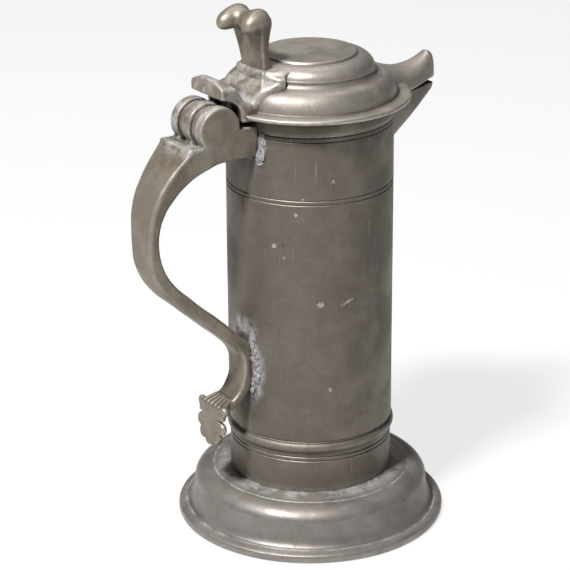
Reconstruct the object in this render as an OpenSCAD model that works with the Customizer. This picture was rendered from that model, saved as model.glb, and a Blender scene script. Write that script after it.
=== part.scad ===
// Pewter flagon: a turned drum on a flared foot, with a beak spout, a strap handle and a hinged lid.
// Millimetres. The origin is the centre of the foot's resting ring, +Z is up and the spout points to +X.

/* [Drum] */
// Outer radius of the drum
drum_r = 45; // [42:0.5:52]
// Height of the drum above the foot's shoulder
drum_h = 211.2; // [192:0.2:232]
// Thickness of the drum's wall
drum_wall = 2.2; // [1.6:0.1:3.5]
// Height of the band that thickens the rim
rim_band_h = 8; // [6:0.2:12]
// How far the rim band stands out
rim_band_t = 0.6; // [0.3:0.1:1.2]
// Drop from the rim to the upper pair of turned lines
upper_lines_drop = 43.5; // [36:0.5:58]
// Distance between the two lines of a pair
line_pitch = 2.4; // [1.8:0.1:4]
// Width and twice the depth of a turned line
line_w = 0.9; // [0.6:0.1:1.4]
// Height of the roll moulding's middle above the foot's shoulder
roll_rise = 25.9; // [22:0.1:34]
// Height of the roll moulding
roll_h = 6.4; // [4:0.2:9]
// How far the roll moulding stands out
roll_t = 1.2; // [0.8:0.1:2]

/* [Foot] */
// Radius of the foot's rim
foot_r = 74.2; // [66:0.5:82]
// Height of the foot's shoulder above the ground
foot_h = 28.4; // [24:0.2:34]
// Width of the flat shoulder outside the drum
shoulder_w = 9.4; // [6:0.2:12]
// Share of the flare that the rounded step takes up
step_share = 0.53; // [0.4:0.01:0.65]
// Thickness of the foot's wall
foot_wall = 2.6; // [2:0.1:4]
// Height of the thin rim
foot_rim_h = 4.4; // [3:0.2:6]
// Thickness of the plate that closes the drum
base_plate_t = 2.4; // [1.8:0.1:4]

/* [Spout] */
// How far the spout's tip stands out from the drum
spout_len = 35.8; // [28:0.5:42]
// Width of the spout where it meets the drum
spout_w = 34; // [28:0.5:40]
// Drop from the drum's rim to the spout's open edge
spout_drop = 4; // [3:0.2:8]
// Height of the spout's keel line on the drum below the open edge
spout_depth = 36; // [28:0.5:44]
// Thickness of the spout's wall
spout_wall = 2; // [1.5:0.1:3]

/* [Handle] */
// How far the strap's back stands out from the drum
handle_reach = 62; // [54:0.5:68]
// Drop from the rim to the underside of the handle's arm
arm_drop = 21.6; // [19:0.2:26]
// Drop from the rim to the strap's lower end on the drum
tail_drop = 142.4; // [132:0.2:154]
// Thickness of the strap
strap_t = 6.4; // [5:0.2:9]
// Width of the strap below the hinge
strap_top_w = 27; // [22:0.5:30]
// Width of the strap where it meets the drum
strap_low_w = 16.5; // [14:0.5:20]
// Thickness of the tail that lies on the drum
tail_t = 3.5; // [2.6:0.1:5]
// Width of the shield at the end of the tail
shield_w = 23.5; // [20:0.5:29]
// Height of the shield
shield_h = 23; // [20:0.5:28]
// Thickness of the shield
shield_t = 3; // [2:0.1:4.5]

/* [Hinge] */
// Distance from the drum to the hinge pin
hinge_reach = 20.9; // [19:0.1:24]
// Drop from the rim to the hinge pin
hinge_drop = 3.4; // [2.4:0.1:4.4]
// Radius of the hinge barrel
barrel_r = 12.2; // [11:0.1:13.5]
// Width of each of the handle's three knuckles
knuckle_w = 6.6; // [5.5:0.1:8.5]
// Width of each of the two slots between them
slot_w = 5.3; // [4.5:0.1:7]
// Radius of the hinge pin
pin_r = 2.5; // [1.8:0.1:3.5]
// Clearance between the pin and the lid's leaves
pin_play = 0.05; // [0.02:0.01:0.09]
// Clearance beside and around the lid's leaves
leaf_play = 0.4; // [0.3:0.05:0.7]

/* [Lid] */
// Radius of the lid's flange
flange_r = 54; // [52:0.5:58]
// Thickness of the flange
flange_t = 2.3; // [1.8:0.1:3.5]
// Radius of the dome where it rises from the flange
dome_r = 46.6; // [45:0.2:49]
// Height of the lower dome above the flange's underside
dome_h = 13.2; // [11:0.2:16]
// Radius of the step between the lower and the upper dome
dome_step_r = 34.5; // [32:0.5:36.5]
// Height of the whole lid above the flange's underside
lid_h = 25.3; // [22:0.1:28]
// Radius of the raised disc on top
disc_r = 25.2; // [22:0.2:28]
// Thickness of the lid's wall
lid_wall = 2; // [1.5:0.1:3]
// Gap between the closed lid and the drum's rim
lid_gap = 0.3; // [0.3:0.05:0.8]
// How far the spout's cover reaches past the spout's tip
cover_overhang = 0.8; // [0.4:0.1:3]

/* [Lid strap and thumb-piece] */
// Width of the tongue over the hinge barrel
tongue_w = 30; // [26:0.5:33]
// Thickness of the tongue's crowned end
tongue_t = 9.2; // [6:0.2:11]
// Gap between the tongue and the hinge barrel
tongue_gap = 3.4; // [2:0.1:4.4]
// Width of the block that carries the thumb-piece
collar_w = 19; // [17:0.5:24]
// Height of the thumb-piece above the lid's disc
thumb_h = 29.2; // [25:0.2:36]
// Thickness of the thumb-piece's shaft
thumb_t = 6.4; // [5:0.2:9]
// Distance between the middles of the two lobes
lobe_pitch = 18; // [15:0.5:22]
// Radius of each lobe
lobe_r = 5.4; // [5:0.1:7.5]
// Length of each lobe
lobe_len = 20.5; // [15:0.5:25]
// How far the thumb-piece is turned on its seat, in degrees
thumb_turn = 6; // [0:0.5:12]

/* [Hidden] */

$fn = 96;
pewter = [0.52, 0.50, 0.46];
dark_pewter = [0.44, 0.42, 0.38];
solder_grey = [0.62, 0.62, 0.62];

// Room that every cut runs past the solid it cuts
over = 1;
// Steps along a curved stretch of an outline
arc_steps = 8;
curve_steps = 10;

// Levels
rim_z = foot_h + drum_h;
lid_z = rim_z + lid_gap;
hinge_z = rim_z - hinge_drop;
hinge_x = -drum_r - hinge_reach;
spout_z = rim_z - spout_drop;
roll_z = foot_h + roll_rise;
drum_bore_r = drum_r - drum_wall;
collar_inset_share = 0.2;
collar_r = drum_r - collar_inset_share * drum_wall;

// Hinge, from its middle outwards
barrel_w = 3 * knuckle_w + 2 * slot_w;
leaf_w = slot_w - 2 * leaf_play;
leaf_r = barrel_r - leaf_play;
slot_r = barrel_r + leaf_play;
slot_y = (knuckle_w + slot_w) / 2;
end_wall_share = 0.35;
pin_stop_y = -barrel_w / 2 + end_wall_share * knuckle_w;
plug_t = end_wall_share * knuckle_w;
pin_len = barrel_w / 2 - plug_t - pin_stop_y;
tongue_r = barrel_r + tongue_gap;

// A point of a cubic curve with four control points, and the curve as a list
function bez_point(p, t) = pow(1 - t, 3) * p[0] + 3 * pow(1 - t, 2) * t * p[1]
    + 3 * (1 - t) * pow(t, 2) * p[2] + pow(t, 3) * p[3];
function bez(p, n = curve_steps) = [for (i = [0:n]) bez_point(p, i / n)];

// An elliptical arc about a centre
function earc(c, rx, rz, a0, a1, n = arc_steps) =
    [for (i = [0:n]) let (a = a0 + (a1 - a0) * i / n) [c[0] + rx * cos(a), c[1] + rz * sin(a)]];

function reversed(list) = [for (i = [len(list) - 1:-1:0]) list[i]];

// A side outline in X and Z, drawn out across Y to a width
module across(w) {
    translate([0, w / 2, 0])
        rotate([90, 0, 0])
            linear_extrude(w)
                children();
}

// A cylinder along Y about the hinge pin
module hinge_round(r, w, y = 0) {
    translate([hinge_x, y + w / 2, hinge_z])
        rotate([90, 0, 0])
            cylinder(r = r, h = w);
}

// A closed skin through a row of rings that have the same number of points
module loft(rings) {
    n = len(rings[0]);
    last = len(rings) - 1;
    points = [for (ring = rings) each ring];
    sides = [for (i = [0:last - 1], j = [0:n - 1])
        let (a = i * n + j, b = i * n + (j + 1) % n) each [[a, a + n, b], [b, a + n, b + n]]];
    start = [for (j = [1:n - 2]) [0, j, j + 1]];
    end = [for (j = [1:n - 2]) [last * n, last * n + j + 1, last * n + j]];
    polyhedron(points = points, faces = concat(sides, start, end), convexity = 6);
}

// A turned line: a round groove cut into a radius
module turned_line(r, z) {
    rotate_extrude()
        translate([r, z])
            circle(d = line_w, $fn = 16);
}

// The drum, from the foot's shoulder to the rim, with its bands, turned lines and pouring window
window_w_share = 0.6;
window_low_share = 0.7;
window_top_share = 0.3;
roll_line_gap = 0.7;

module drum_outline() {
    translate([drum_bore_r, foot_h])
        square([collar_r - drum_bore_r, roll_rise]);
    translate([drum_bore_r, roll_z - roll_h / 2])
        square([drum_wall, rim_z - roll_z + roll_h / 2]);
    translate([drum_bore_r, rim_z - rim_band_h])
        square([drum_wall + rim_band_t, rim_band_h]);
    intersection() {
        translate([drum_r + roll_t - roll_h / 2, roll_z])
            circle(d = roll_h, $fn = 48);
        translate([drum_bore_r, roll_z - roll_h])
            square([drum_wall + roll_t, 2 * roll_h]);
    }
}

module spout_window() {
    half = window_w_share * spout_w / 2;
    low = spout_z - window_low_share * spout_depth;
    top = spout_z - window_top_share * spout_drop;
    rotate([90, 0, 90])
        linear_extrude(drum_r + over)
            polygon([[-half, top], [0, low], [half, top]]);
}

module drum() {
    color(pewter)
        difference() {
            rotate_extrude()
                drum_outline();
            for (i = [0, 1]) {
                turned_line(drum_r, rim_z - upper_lines_drop - i * line_pitch);
                turned_line(drum_r, rim_z - rim_band_h - line_pitch / 2 - i * line_pitch);
                turned_line(collar_r, roll_z - roll_h / 2 - 3 * roll_line_gap - i * line_pitch);
            }
            turned_line(drum_r, roll_z + roll_h / 2 + roll_line_gap);
            spout_window();
        }
}

// The room that the drum and its rim band fill, cut out of the pieces soldered to them
module drum_envelope() {
    translate([0, 0, foot_h])
        cylinder(r = drum_r, h = drum_h);
    translate([0, 0, rim_z - rim_band_h])
        cylinder(r = drum_r + rim_band_t, h = rim_band_h);
}

// The disc that closes the drum, resting on the foot's shoulder
module base_plate() {
    color(dark_pewter)
        translate([0, 0, foot_h])
            cylinder(r = drum_bore_r, h = base_plate_t);
}

// The foot: flat shoulder, rounded step, cove and thin rim, hollow underneath
seat_share = 0.8;
step_h_share = 0.36;
step_top_share = 0.94;
cove_run_share = 0.5;
rim_slope_share = 0.3;
cove_start = 190;
shoulder_r = drum_r + shoulder_w;
step_run = step_share * (foot_r - shoulder_r);
step_r = shoulder_r + step_run;

module foot() {
    step_low = foot_h * (1 - step_h_share);
    step_top = step_top_share * foot_h;
    cove_run = cove_run_share * (foot_r - step_r);
    cove_low = (1 + rim_slope_share) * foot_rim_h;
    cove_h = step_low - cove_low;
    seat_r = seat_share * drum_r;
    outer = concat(
        [[drum_r, foot_h]],
        earc([shoulder_r, step_low], step_run, step_top - step_low, 90, 0),
        earc([step_r + cove_run, cove_low + cove_h], cove_run, cove_h, cove_start, 270),
        [[foot_r, foot_rim_h], [foot_r, 0]]);
    inner = concat(
        earc([shoulder_r, step_low], step_run - foot_wall, step_top - foot_wall - step_low, 90, 0),
        [[step_r - foot_wall, foot_rim_h], [step_r + cove_run - foot_wall, 0]]);
    color(dark_pewter)
        difference() {
            rotate_extrude()
                polygon(concat([[seat_r, foot_h]], outer, reversed(inner), [[seat_r, step_top - foot_wall]]));
            turned_line(shoulder_r, step_top);
            turned_line(step_r + cove_run, cove_low);
        }
}

// The spout: a trough that narrows to a tip, with its keel rising from the drum
spout_root_x = drum_r - 2 * drum_wall;
spout_tip_x = drum_r + spout_len;
spout_steps = 12;
spout_ring_steps = 12;
tip_w_share = 0.17;
tip_depth_share = 0.12;
keel_bow_share = 0.03;
spout_power_share = 1.4;

function spout_half(u) = spout_w / 2 * (1 - (1 - tip_w_share) * pow(u, spout_power_share));
function spout_dip(u) = spout_depth * (1 - (1 - tip_depth_share) * u + keel_bow_share * sin(180 * u));
function spout_ring(u, inset, lift) = let (
        x = spout_root_x + (spout_tip_x - inset - spout_root_x) * u,
        half = spout_half(u) - inset,
        dip = spout_dip(u) - inset)
    [for (i = [0:spout_ring_steps]) let (a = 180 + 180 * i / spout_ring_steps)
        [x, half * cos(a), i % spout_ring_steps == 0 ? spout_z + lift : spout_z + dip * sin(a)]];

module spout_trough(inset, lift) {
    loft([for (i = [0:spout_steps]) spout_ring(i / spout_steps, inset, lift)]);
}

module spout() {
    color(pewter)
        difference() {
            spout_trough(0, 0);
            spout_trough(spout_wall, over);
            drum_envelope();
        }
}

// The handle's side outline. Points are shares of its reach from the drum and of its height
arm_z = rim_z - arm_drop;
tail_z = rim_z - tail_drop;
inner_reach = handle_reach - strap_t;
arm_top_share = 0.2;
arm_top_z = rim_z - arm_top_share * arm_drop;
tail_share = tail_t / handle_reach;
back_bow_shares = [[0.648, 1.068], [0.885, 0.955], [1.005, 0.857], [1, 0.678]];
belly_shares = [[1, 0.678], [1.008, 0.531], [0.934, 0.461], [0.652, 0.339]];
tail_turn_shares = [[0.213, 0.139], [0.115, 0.094], [tail_share, 0.057], [tail_share, 0]];
tail_flick_shares = [[tail_share, 0], [tail_share, -0.07], [0.107, -0.14], [0.28, -0.163]];
tail_under_shares = [[0.25, -0.195], [0.09, -0.175], [0.01, -0.13], [-0.03, -0.06]];
strap_foot_shares = [[-0.03, 0.1], [0.275, 0.235]];
inner_belly_shares = [[0.727, 0.423], [0.907, 0.498], [1, 0.588], [1, 0.702]];
inner_bow_shares = [[1, 0.702], [1, 0.865], [0.641, 1], [0.238, 1]];

function placed(shares, reach) =
    [for (s = shares) [-drum_r - s[0] * reach, tail_z + s[1] * (arm_z - tail_z)]];

module strap_outline() {
    polygon(concat(
        bez(placed(back_bow_shares, handle_reach)),
        bez(placed(belly_shares, handle_reach)),
        bez(placed(tail_turn_shares, handle_reach)),
        bez(placed(tail_flick_shares, handle_reach)),
        bez(placed(tail_under_shares, handle_reach)),
        placed(strap_foot_shares, inner_reach),
        bez(placed(inner_belly_shares, inner_reach)),
        bez(placed(inner_bow_shares, inner_reach)),
        [[-drum_bore_r, arm_z], [-drum_bore_r, arm_top_z], [hinge_x, arm_top_z]],
        ledge_line()));
}

// The flat ledge between the barrel and the strap's back
ledge_share = 0.62;
ledge_step = 0.3;
ledge_z = hinge_z - ledge_share * barrel_r;

function ledge_line() = let (strap_top = placed([back_bow_shares[0]], handle_reach)[0])
    [[hinge_x, ledge_z], [strap_top[0] + ledge_step, ledge_z]];

// The strap's width, seen from behind: as wide as the barrel at the top, tapering to the tail
mid_taper_share = 0.37;
mid_rise_share = 0.72;
shoulder_rise_share = 1.02;

module width_outline() {
    mid_w = strap_low_w + mid_taper_share * (strap_top_w - strap_low_w);
    rise = arm_z - tail_z;
    half = [for (s = [
        [barrel_w, rim_z + barrel_r], [barrel_w, hinge_z],
        [strap_top_w, tail_z + shoulder_rise_share * rise], [mid_w, tail_z + mid_rise_share * rise],
        [strap_low_w, tail_z], [strap_low_w, foot_h]]) [s[0] / 2, s[1]]];
    polygon(concat(half, reversed([for (p = half) [-p[0], p[1]]])));
}

// The scalloped shield at the end of the tail: lobes as shares of its width and height
shield_tilt = 5;
lobe_shares = [[0.84, 0.08, 0.1], [0.68, 0.48, 0.18], [0.44, 0.75, 0.17]];
toe_shares = [0.86, 0.15];
heart_shares = [0.42, 0.33];
neck_shares = [0.86, 0.3];

module shield_outline() {
    for (side = [-1, 1], s = lobe_shares)
        translate([side * s[0] * shield_w / 2, -s[1] * shield_h])
            circle(r = s[2] * shield_w);
    translate([0, -toe_shares[0] * shield_h])
        circle(r = toe_shares[1] * shield_w);
    translate([0, -heart_shares[0] * shield_h])
        circle(r = heart_shares[1] * shield_w);
    translate([-neck_shares[0] * shield_w / 2, -neck_shares[1] * shield_h])
        square([neck_shares[0] * shield_w, neck_shares[1] * shield_h]);
}

// Short leaf ribs where the tail meets the shield
rib_count = 5;
rib_r_share = 0.1;
rib_len_share = 0.45;
rib_tilt = 55;

module shield() {
    tail_end = placed([tail_flick_shares[3]], handle_reach)[0];
    rib_len = rib_len_share * strap_low_w;
    rib_r = rib_r_share * strap_low_w;
    translate([tail_end[0] - shield_t, 0, tail_end[1]])
        rotate([0, shield_tilt, 0])
            rotate([90, 0, 90])
                linear_extrude(shield_t)
                    shield_outline();
    for (i = [0:rib_count - 1])
        translate([tail_end[0], (i - (rib_count - 1) / 2) * strap_low_w / rib_count, tail_end[1] - rib_r])
            rotate([0, rib_tilt, 0])
                cylinder(r = rib_r, h = rib_len, center = true, $fn = 24);
}

module handle_solid() {
    intersection() {
        across(barrel_w)
            union() {
                strap_outline();
                translate([hinge_x, hinge_z])
                    circle(r = barrel_r);
            }
        rotate([90, 0, -90])
            translate([0, 0, drum_bore_r - drum_wall])
                linear_extrude(2 * handle_reach)
                    width_outline();
    }
    shield();
}

module handle() {
    color(pewter)
        difference() {
            handle_solid();
            for (side = [-1, 1])
                hinge_round(slot_r, slot_w, side * slot_y);
            hinge_round(pin_r, barrel_w, pin_stop_y + barrel_w / 2);
            drum_envelope();
        }
}

// Raised seams of solder on the drum round the handle's two joints
solder_t = 0.7;
solder_w = 3;

module solder_patch(low, high, w) {
    difference() {
        intersection() {
            translate([0, 0, low])
                cylinder(r = drum_r + solder_t, h = high - low);
            translate([-drum_r - over, -w / 2, low])
                cube([drum_r, w, high - low]);
        }
        drum_envelope();
        handle_solid();
    }
}

module upper_solder() {
    color(solder_grey)
        solder_patch(arm_z - solder_w, rim_z - rim_band_h, barrel_w + 2 * solder_w);
}

module lower_solder() {
    foot_rise = placed(strap_foot_shares, inner_reach)[0][1];
    tail_low = placed([tail_under_shares[3]], handle_reach)[0][1];
    color(solder_grey)
        solder_patch(tail_low - solder_w, foot_rise + 3 * solder_w, strap_low_w + 2 * solder_w);
}

// The pin lies in a blind bore, and the plug closes the bore's mouth
module hinge_pin() {
    color(dark_pewter)
        hinge_round(pin_r, pin_len, pin_stop_y + pin_len / 2);
}

module pin_plug() {
    color(pewter)
        hinge_round(pin_r, plug_t, (barrel_w - plug_t) / 2);
}

// The lid's outline as a revolve: flange, lower dome, cove, upper dome and raised disc
cove_share = 0.35;
disc_t = 1.3;
disc_edge = 0.4;

dome_top_r = dome_step_r + (dome_r - dome_step_r) * cove_share;
step_z = dome_h + (lid_h - disc_t - dome_h) * cove_share;

function lid_skin() = concat(
    [[flange_r - disc_edge, 0], [flange_r, disc_edge], [flange_r, flange_t - disc_edge],
     [flange_r - disc_edge, flange_t]],
    earc([dome_top_r, flange_t], dome_r - dome_top_r, dome_h - flange_t, 0, 90),
    earc([dome_top_r, step_z], dome_top_r - dome_step_r, step_z - dome_h, 270, 180),
    earc([disc_r + disc_edge, step_z], dome_step_r - disc_r - disc_edge, lid_h - disc_t - step_z, 0, 90),
    [[disc_r, lid_h - disc_t], [disc_r, lid_h - disc_edge], [disc_r - disc_edge, lid_h]]);

function lid_hollow() = concat(
    [[dome_r - lid_wall, 0]],
    earc([dome_top_r, flange_t], dome_r - dome_top_r - lid_wall, dome_h - flange_t - lid_wall, 0, 90),
    earc([disc_r - lid_wall, dome_h], dome_step_r - disc_r - lid_wall, lid_h - disc_t - dome_h - lid_wall,
         0, 90));

module lid_envelope() {
    translate([0, 0, lid_z])
        rotate_extrude()
            polygon(concat([[0, 0]], lid_skin(), [[0, lid_h]]));
}

hinge_cut_share = 1.3;

module lid() {
    color(pewter)
        difference() {
            translate([0, 0, lid_z])
                rotate_extrude()
                    polygon(concat(lid_skin(), [[0, lid_h], [0, lid_h - lid_wall - disc_t]],
                                   reversed(lid_hollow())));
            hinge_round(tongue_r, hinge_cut_share * barrel_w);
        }
}

// The spout's cover: an arched beak that runs down from the dome, dips and turns up to a blunt nose
cover_root_share = 0.78;
cover_lift = 0.6;
cover_lip_w = 1;
cover_steps = 12;
nose_steps = 5;
nose_sweep = 80;
cover_ring_steps = 12;
cover_power_share = 0.8;
nose_share = 0.14;
ridge_x_shares = [0, 0.33, 0.62, 1];
ridge_z_shares = [1.15, 0.98, 0.42, 0.98];
nose_drop_share = 0.45;
cover_low_z = spout_z + cover_lift;
cover_root_x = cover_root_share * dome_r;
cover_tip_x = spout_tip_x + cover_overhang;
nose_x = cover_tip_x - nose_share * spout_len;

function ridge(t, inset) = [
    cover_root_x + (nose_x - cover_root_x) * bez_point(ridge_x_shares, t),
    lid_z + (dome_h - flange_t) * bez_point(ridge_z_shares, t) - inset];
function cover_half(x) = cover_lip_w
    + spout_half(min(1, max(0, (x - spout_root_x) / (spout_tip_x - spout_root_x))));
function cover_ring(x, half, top, low) =
    [for (i = [0:cover_ring_steps]) let (a = 180 * i / cover_ring_steps)
        [x, half * sign(cos(a)) * pow(abs(cos(a)), cover_power_share),
         low + (top - low) * pow(sin(a), cover_power_share)]];

module cover_arch(inset, drop) {
    low = cover_low_z - drop;
    last = ridge(1, inset);
    run = [for (i = [0:cover_steps]) let (p = ridge(i / cover_steps, inset))
        cover_ring(p[0], cover_half(p[0]) - inset, p[1], low)];
    nose = [for (i = [1:nose_steps]) let (
            a = nose_sweep * i / nose_steps,
            top = last[1] - nose_drop_share * (last[1] - low) * (1 - cos(a)))
        cover_ring(last[0] + (cover_tip_x - inset - nose_x) * sin(a), (cover_half(last[0]) - inset) * cos(a),
                   top, low)];
    loft(concat(run, nose));
}

module spout_cover() {
    color(pewter)
        difference() {
            cover_arch(0, 0);
            cover_arch(spout_wall, over);
            lid_envelope();
            translate([0, 0, foot_h])
                cylinder(r = drum_r + rim_band_t + lid_gap, h = drum_h + lid_gap + flange_t / 2);
        }
}

// The lid strap: two leaves on the pin, a crowned tongue over the barrel, scooped sides and a collar
collar_angle = 36;
collar_t = 2.6;
collar_h = 6.2;
collar_sink_share = 0.25;
collar_front_share = 1.2;
tongue_end_x = hinge_x + tongue_gap / 3;
tongue_top_z = hinge_z + tongue_r + tongue_t;
collar_x = -dome_step_r - collar_t / 2;
collar_back_share = 0.8;
crown_share = 0.26;
saddle_shares = [0.42, 0.5];
tongue_top_shares = [[0, 0], [0.16, 0.02], [0.25, 0.48]];
saddle_rise_shares = [[0.6, 0.56], [0.85, 0.6], [1, 0.55]];
scoop_r = 9.8;
scoop_shares = [0.71, 0.685];
scoop_len_share = 1.75;
scoop_side_share = 1.07;
leaf_low = 8;

function strap_point(s) = [tongue_end_x + s[0] * (collar_x - tongue_end_x), tongue_top_z - s[1] * tongue_t];

module lid_strap_outline() {
    saddle = strap_point(saddle_shares);
    back_x = collar_back_share * collar_x;
    top = concat(
        bez(concat([for (s = tongue_top_shares) strap_point(s)], [saddle])),
        bez(concat([saddle], [for (s = saddle_rise_shares) strap_point(s)])));
    polygon(concat([[tongue_end_x, hinge_z]], top,
        [[back_x, top[len(top) - 1][1]], [back_x, lid_z], [hinge_x + tongue_r, lid_z],
         [hinge_x + tongue_r, hinge_z]]));
}

module leaf_outline() {
    reach = tongue_r + tongue_gap / 2;
    translate([hinge_x, hinge_z]) {
        circle(r = leaf_r);
        polygon(concat([[0, 0]], earc([0, 0], reach, reach, 90, leaf_low)));
    }
}

module collar_ring() {
    low = lid_z + step_z - collar_sink_share * collar_h;
    rotate([0, 0, 180 - collar_angle])
        rotate_extrude(angle = 2 * collar_angle)
            translate([collar_back_share * dome_step_r, low])
                square([dome_step_r + collar_t - collar_back_share * dome_step_r, collar_h]);
    translate([-dome_step_r - collar_t, -collar_front_share * collar_w / 2, low])
        cube([2 * collar_t, collar_front_share * collar_w, collar_h]);
}

module strap_block() {
    crown = crown_share * tongue_w / 2;
    crown_r = (pow(tongue_w / 2, 2) + pow(crown, 2)) / (2 * crown);
    scoop = strap_point(scoop_shares);
    difference() {
        intersection() {
            across(tongue_w)
                difference() {
                    lid_strap_outline();
                    translate([hinge_x, hinge_z])
                        circle(r = tongue_r);
                }
            translate([0, 0, tongue_top_z - crown_r])
                rotate([0, -90, 0])
                    cylinder(r = crown_r, h = drum_r + handle_reach);
        }
        for (side = [-1, 1])
            translate([scoop[0], side * scoop_side_share * tongue_w / 2, scoop[1]])
                rotate([90, 0, 0])
                    rotate_extrude()
                        polygon(earc([0, 0], scoop_r, scoop_len_share * scoop_r, -90, 90, 2 * arc_steps));
    }
}

module lid_strap_mass() {
    strap_block();
    collar_ring();
    for (side = [-1, 1])
        translate([0, side * slot_y, 0])
            across(leaf_w)
                leaf_outline();
}

module lid_strap() {
    color(pewter)
        difference() {
            lid_strap_mass();
            lid_envelope();
            hinge_round(pin_r + pin_play, barrel_w);
        }
}

// The thumb-piece: a waisted shaft that widens to two buds pointing over the handle
thumb_lean = 4.6;
thumb_pull_shares = [0.25, 0.5, 0.9, 1];
thumb_waist_rise_share = 0.42;
thumb_flare_share = 1.4;
thumb_top_z = lid_z + lid_h + thumb_h;
lobe_z = thumb_top_z - lobe_r;
lobe_back_share = -0.05;
bud_droop = 1;
thumb_x = collar_x + thumb_t / 2;
bud_shares = [[0, 0], [0, 0.6], [0.14, 1], [0.4, 1], [0.4, 1], [0.66, 1], [1, 0.45], [1, 0]];

module thumb_side() {
    low = lid_z + step_z;
    mid_z = low + thumb_waist_rise_share * (lobe_z - low);
    half = thumb_t / 2;
    lean = thumb_lean * thumb_pull_shares;
    front = bez([[-half, low], [-half - lean[0], mid_z], [-half - lean[1], mid_z],
                 [-half - thumb_lean, lobe_z]]);
    back = bez([[half, low], [half - lean[2], mid_z], [half - lean[3], mid_z], [half - thumb_lean, lobe_z]]);
    polygon(concat(front, reversed(back)));
}

module thumb_front() {
    low = lid_z + flange_t;
    top_half = thumb_flare_share * collar_w / 2;
    waist_z = low + thumb_waist_rise_share * (lobe_z - low);
    edge = bez([[collar_w / 2, low], [collar_w / 2, waist_z], [collar_w / 2, waist_z],
                [top_half, lobe_z + over]]);
    polygon(concat(edge, reversed([for (p = edge) [-p[0], p[1]]])));
}

module bud() {
    side = concat(bez([for (i = [0:3]) [bud_shares[i][0] * lobe_len, bud_shares[i][1] * lobe_r]]),
                  bez([for (i = [4:7]) [bud_shares[i][0] * lobe_len, bud_shares[i][1] * lobe_r]]));
    rotate([0, -90 - bud_droop, 0])
        rotate_extrude()
            polygon([for (p = side) [p[1], p[0]]]);
}

module thumb_piece() {
    color(pewter)
        difference() {
            translate([thumb_x, 0, 0])
                rotate([0, 0, thumb_turn]) {
                    intersection() {
                        across(2 * collar_w)
                            thumb_side();
                        rotate([90, 0, -90])
                            translate([0, 0, -2 * thumb_t])
                                linear_extrude(4 * thumb_t)
                                    thumb_front();
                    }
                    for (side = [-1, 1])
                        translate([lobe_back_share * thumb_t, side * lobe_pitch / 2, lobe_z])
                            bud();
                }
            lid_strap_mass();
            lid_envelope();
        }
}

drum();
base_plate();
foot();
spout();
handle();
upper_solder();
lower_solder();
hinge_pin();
pin_plug();
lid();
spout_cover();
lid_strap();
thumb_piece();
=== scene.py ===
"""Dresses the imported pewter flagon: turned, cast and soldered pieces, worn pewter finishes and a white studio."""
import logging
import math
from dataclasses import dataclass
from enum import Enum
from typing import Sequence, Union

import bmesh
import bpy
import numpy as np
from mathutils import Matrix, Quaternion, Vector
from mathutils.bvhtree import BVHTree


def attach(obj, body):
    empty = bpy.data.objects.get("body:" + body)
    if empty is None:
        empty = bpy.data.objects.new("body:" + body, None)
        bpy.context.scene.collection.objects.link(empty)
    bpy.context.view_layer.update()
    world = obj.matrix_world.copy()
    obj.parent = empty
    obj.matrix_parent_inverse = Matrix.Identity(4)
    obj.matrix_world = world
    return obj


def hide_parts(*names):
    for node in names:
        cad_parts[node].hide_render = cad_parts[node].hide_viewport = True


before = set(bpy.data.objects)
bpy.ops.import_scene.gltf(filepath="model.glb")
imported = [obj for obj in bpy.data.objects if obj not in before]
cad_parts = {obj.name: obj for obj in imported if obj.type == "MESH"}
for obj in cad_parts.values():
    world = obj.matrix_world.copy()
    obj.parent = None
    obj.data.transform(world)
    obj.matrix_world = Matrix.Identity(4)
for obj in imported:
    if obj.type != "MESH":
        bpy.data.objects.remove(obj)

LOG = logging.getLogger("flagon")
MM = 0.001
# Turn and tilt of the directions in which a point looks for nearby metal, for the painted ambient-occlusion shade
OCCLUSION_SHADE_WAYS = ((0.3, 0.35), (2.4, 0.4), (4.5, 0.38), (1.3, 0.8), (3.4, 0.8), (5.5, 0.8))

Point = tuple[float, float]
Colour = tuple[float, float, float]
Triple = tuple[float, float, float]
Feed = Union[bpy.types.NodeSocket, float, Colour]


class Body(Enum):
    """The two bodies that the hinge joins."""

    VESSEL = "vessel"
    LID = "lid_assembly"


class Slot(Enum):
    """The record's finishes."""

    DRUM = "pewter"
    FOOT = "foot_pewter"
    SOLDER = "solder"
    LID = "lid_pewter"
    CAST = "cast_pewter"
    PIN = "pin_metal"


class Attribute(Enum):
    """Masks that the mesh code leaves on the points for the finishes."""

    WEAR = "worn_edge"
    GRIME_AND_SHADE = "grime_and_shade"
    RINGS = "ring_marks"
    FROST = "frost"


# Outlines


def curve(points: Sequence[Point], steps: int = 36) -> list[Point]:
    """Walks a cubic curve.

    Args:
        points: Its four control points.
        steps: How many pieces to cut it into.

    Returns:
        The points along it, both ends included.
    """
    t = np.linspace(0, 1, steps + 1)[:, None]
    p = np.asarray(points, float)
    walk = (1 - t) ** 3 * p[0] + 3 * (1 - t) ** 2 * t * p[1] + 3 * (1 - t) * t**2 * p[2] + t**3 * p[3]
    return [(float(a), float(b)) for a, b in walk]


def arc(centre: Point, rx: float, rz: float, start: float, end: float, steps: int = 24) -> list[Point]:
    """Walks an elliptical arc.

    Args:
        centre: The ellipse's middle.
        rx: Its half width.
        rz: Its half height.
        start: Angle of the first point, in degrees.
        end: Angle of the last point, in degrees.
        steps: How many pieces to cut it into.

    Returns:
        The points along it.
    """
    angles = np.radians(np.linspace(start, end, steps + 1))
    return [(centre[0] + rx * math.cos(a), centre[1] + rz * math.sin(a)) for a in angles]


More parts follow.
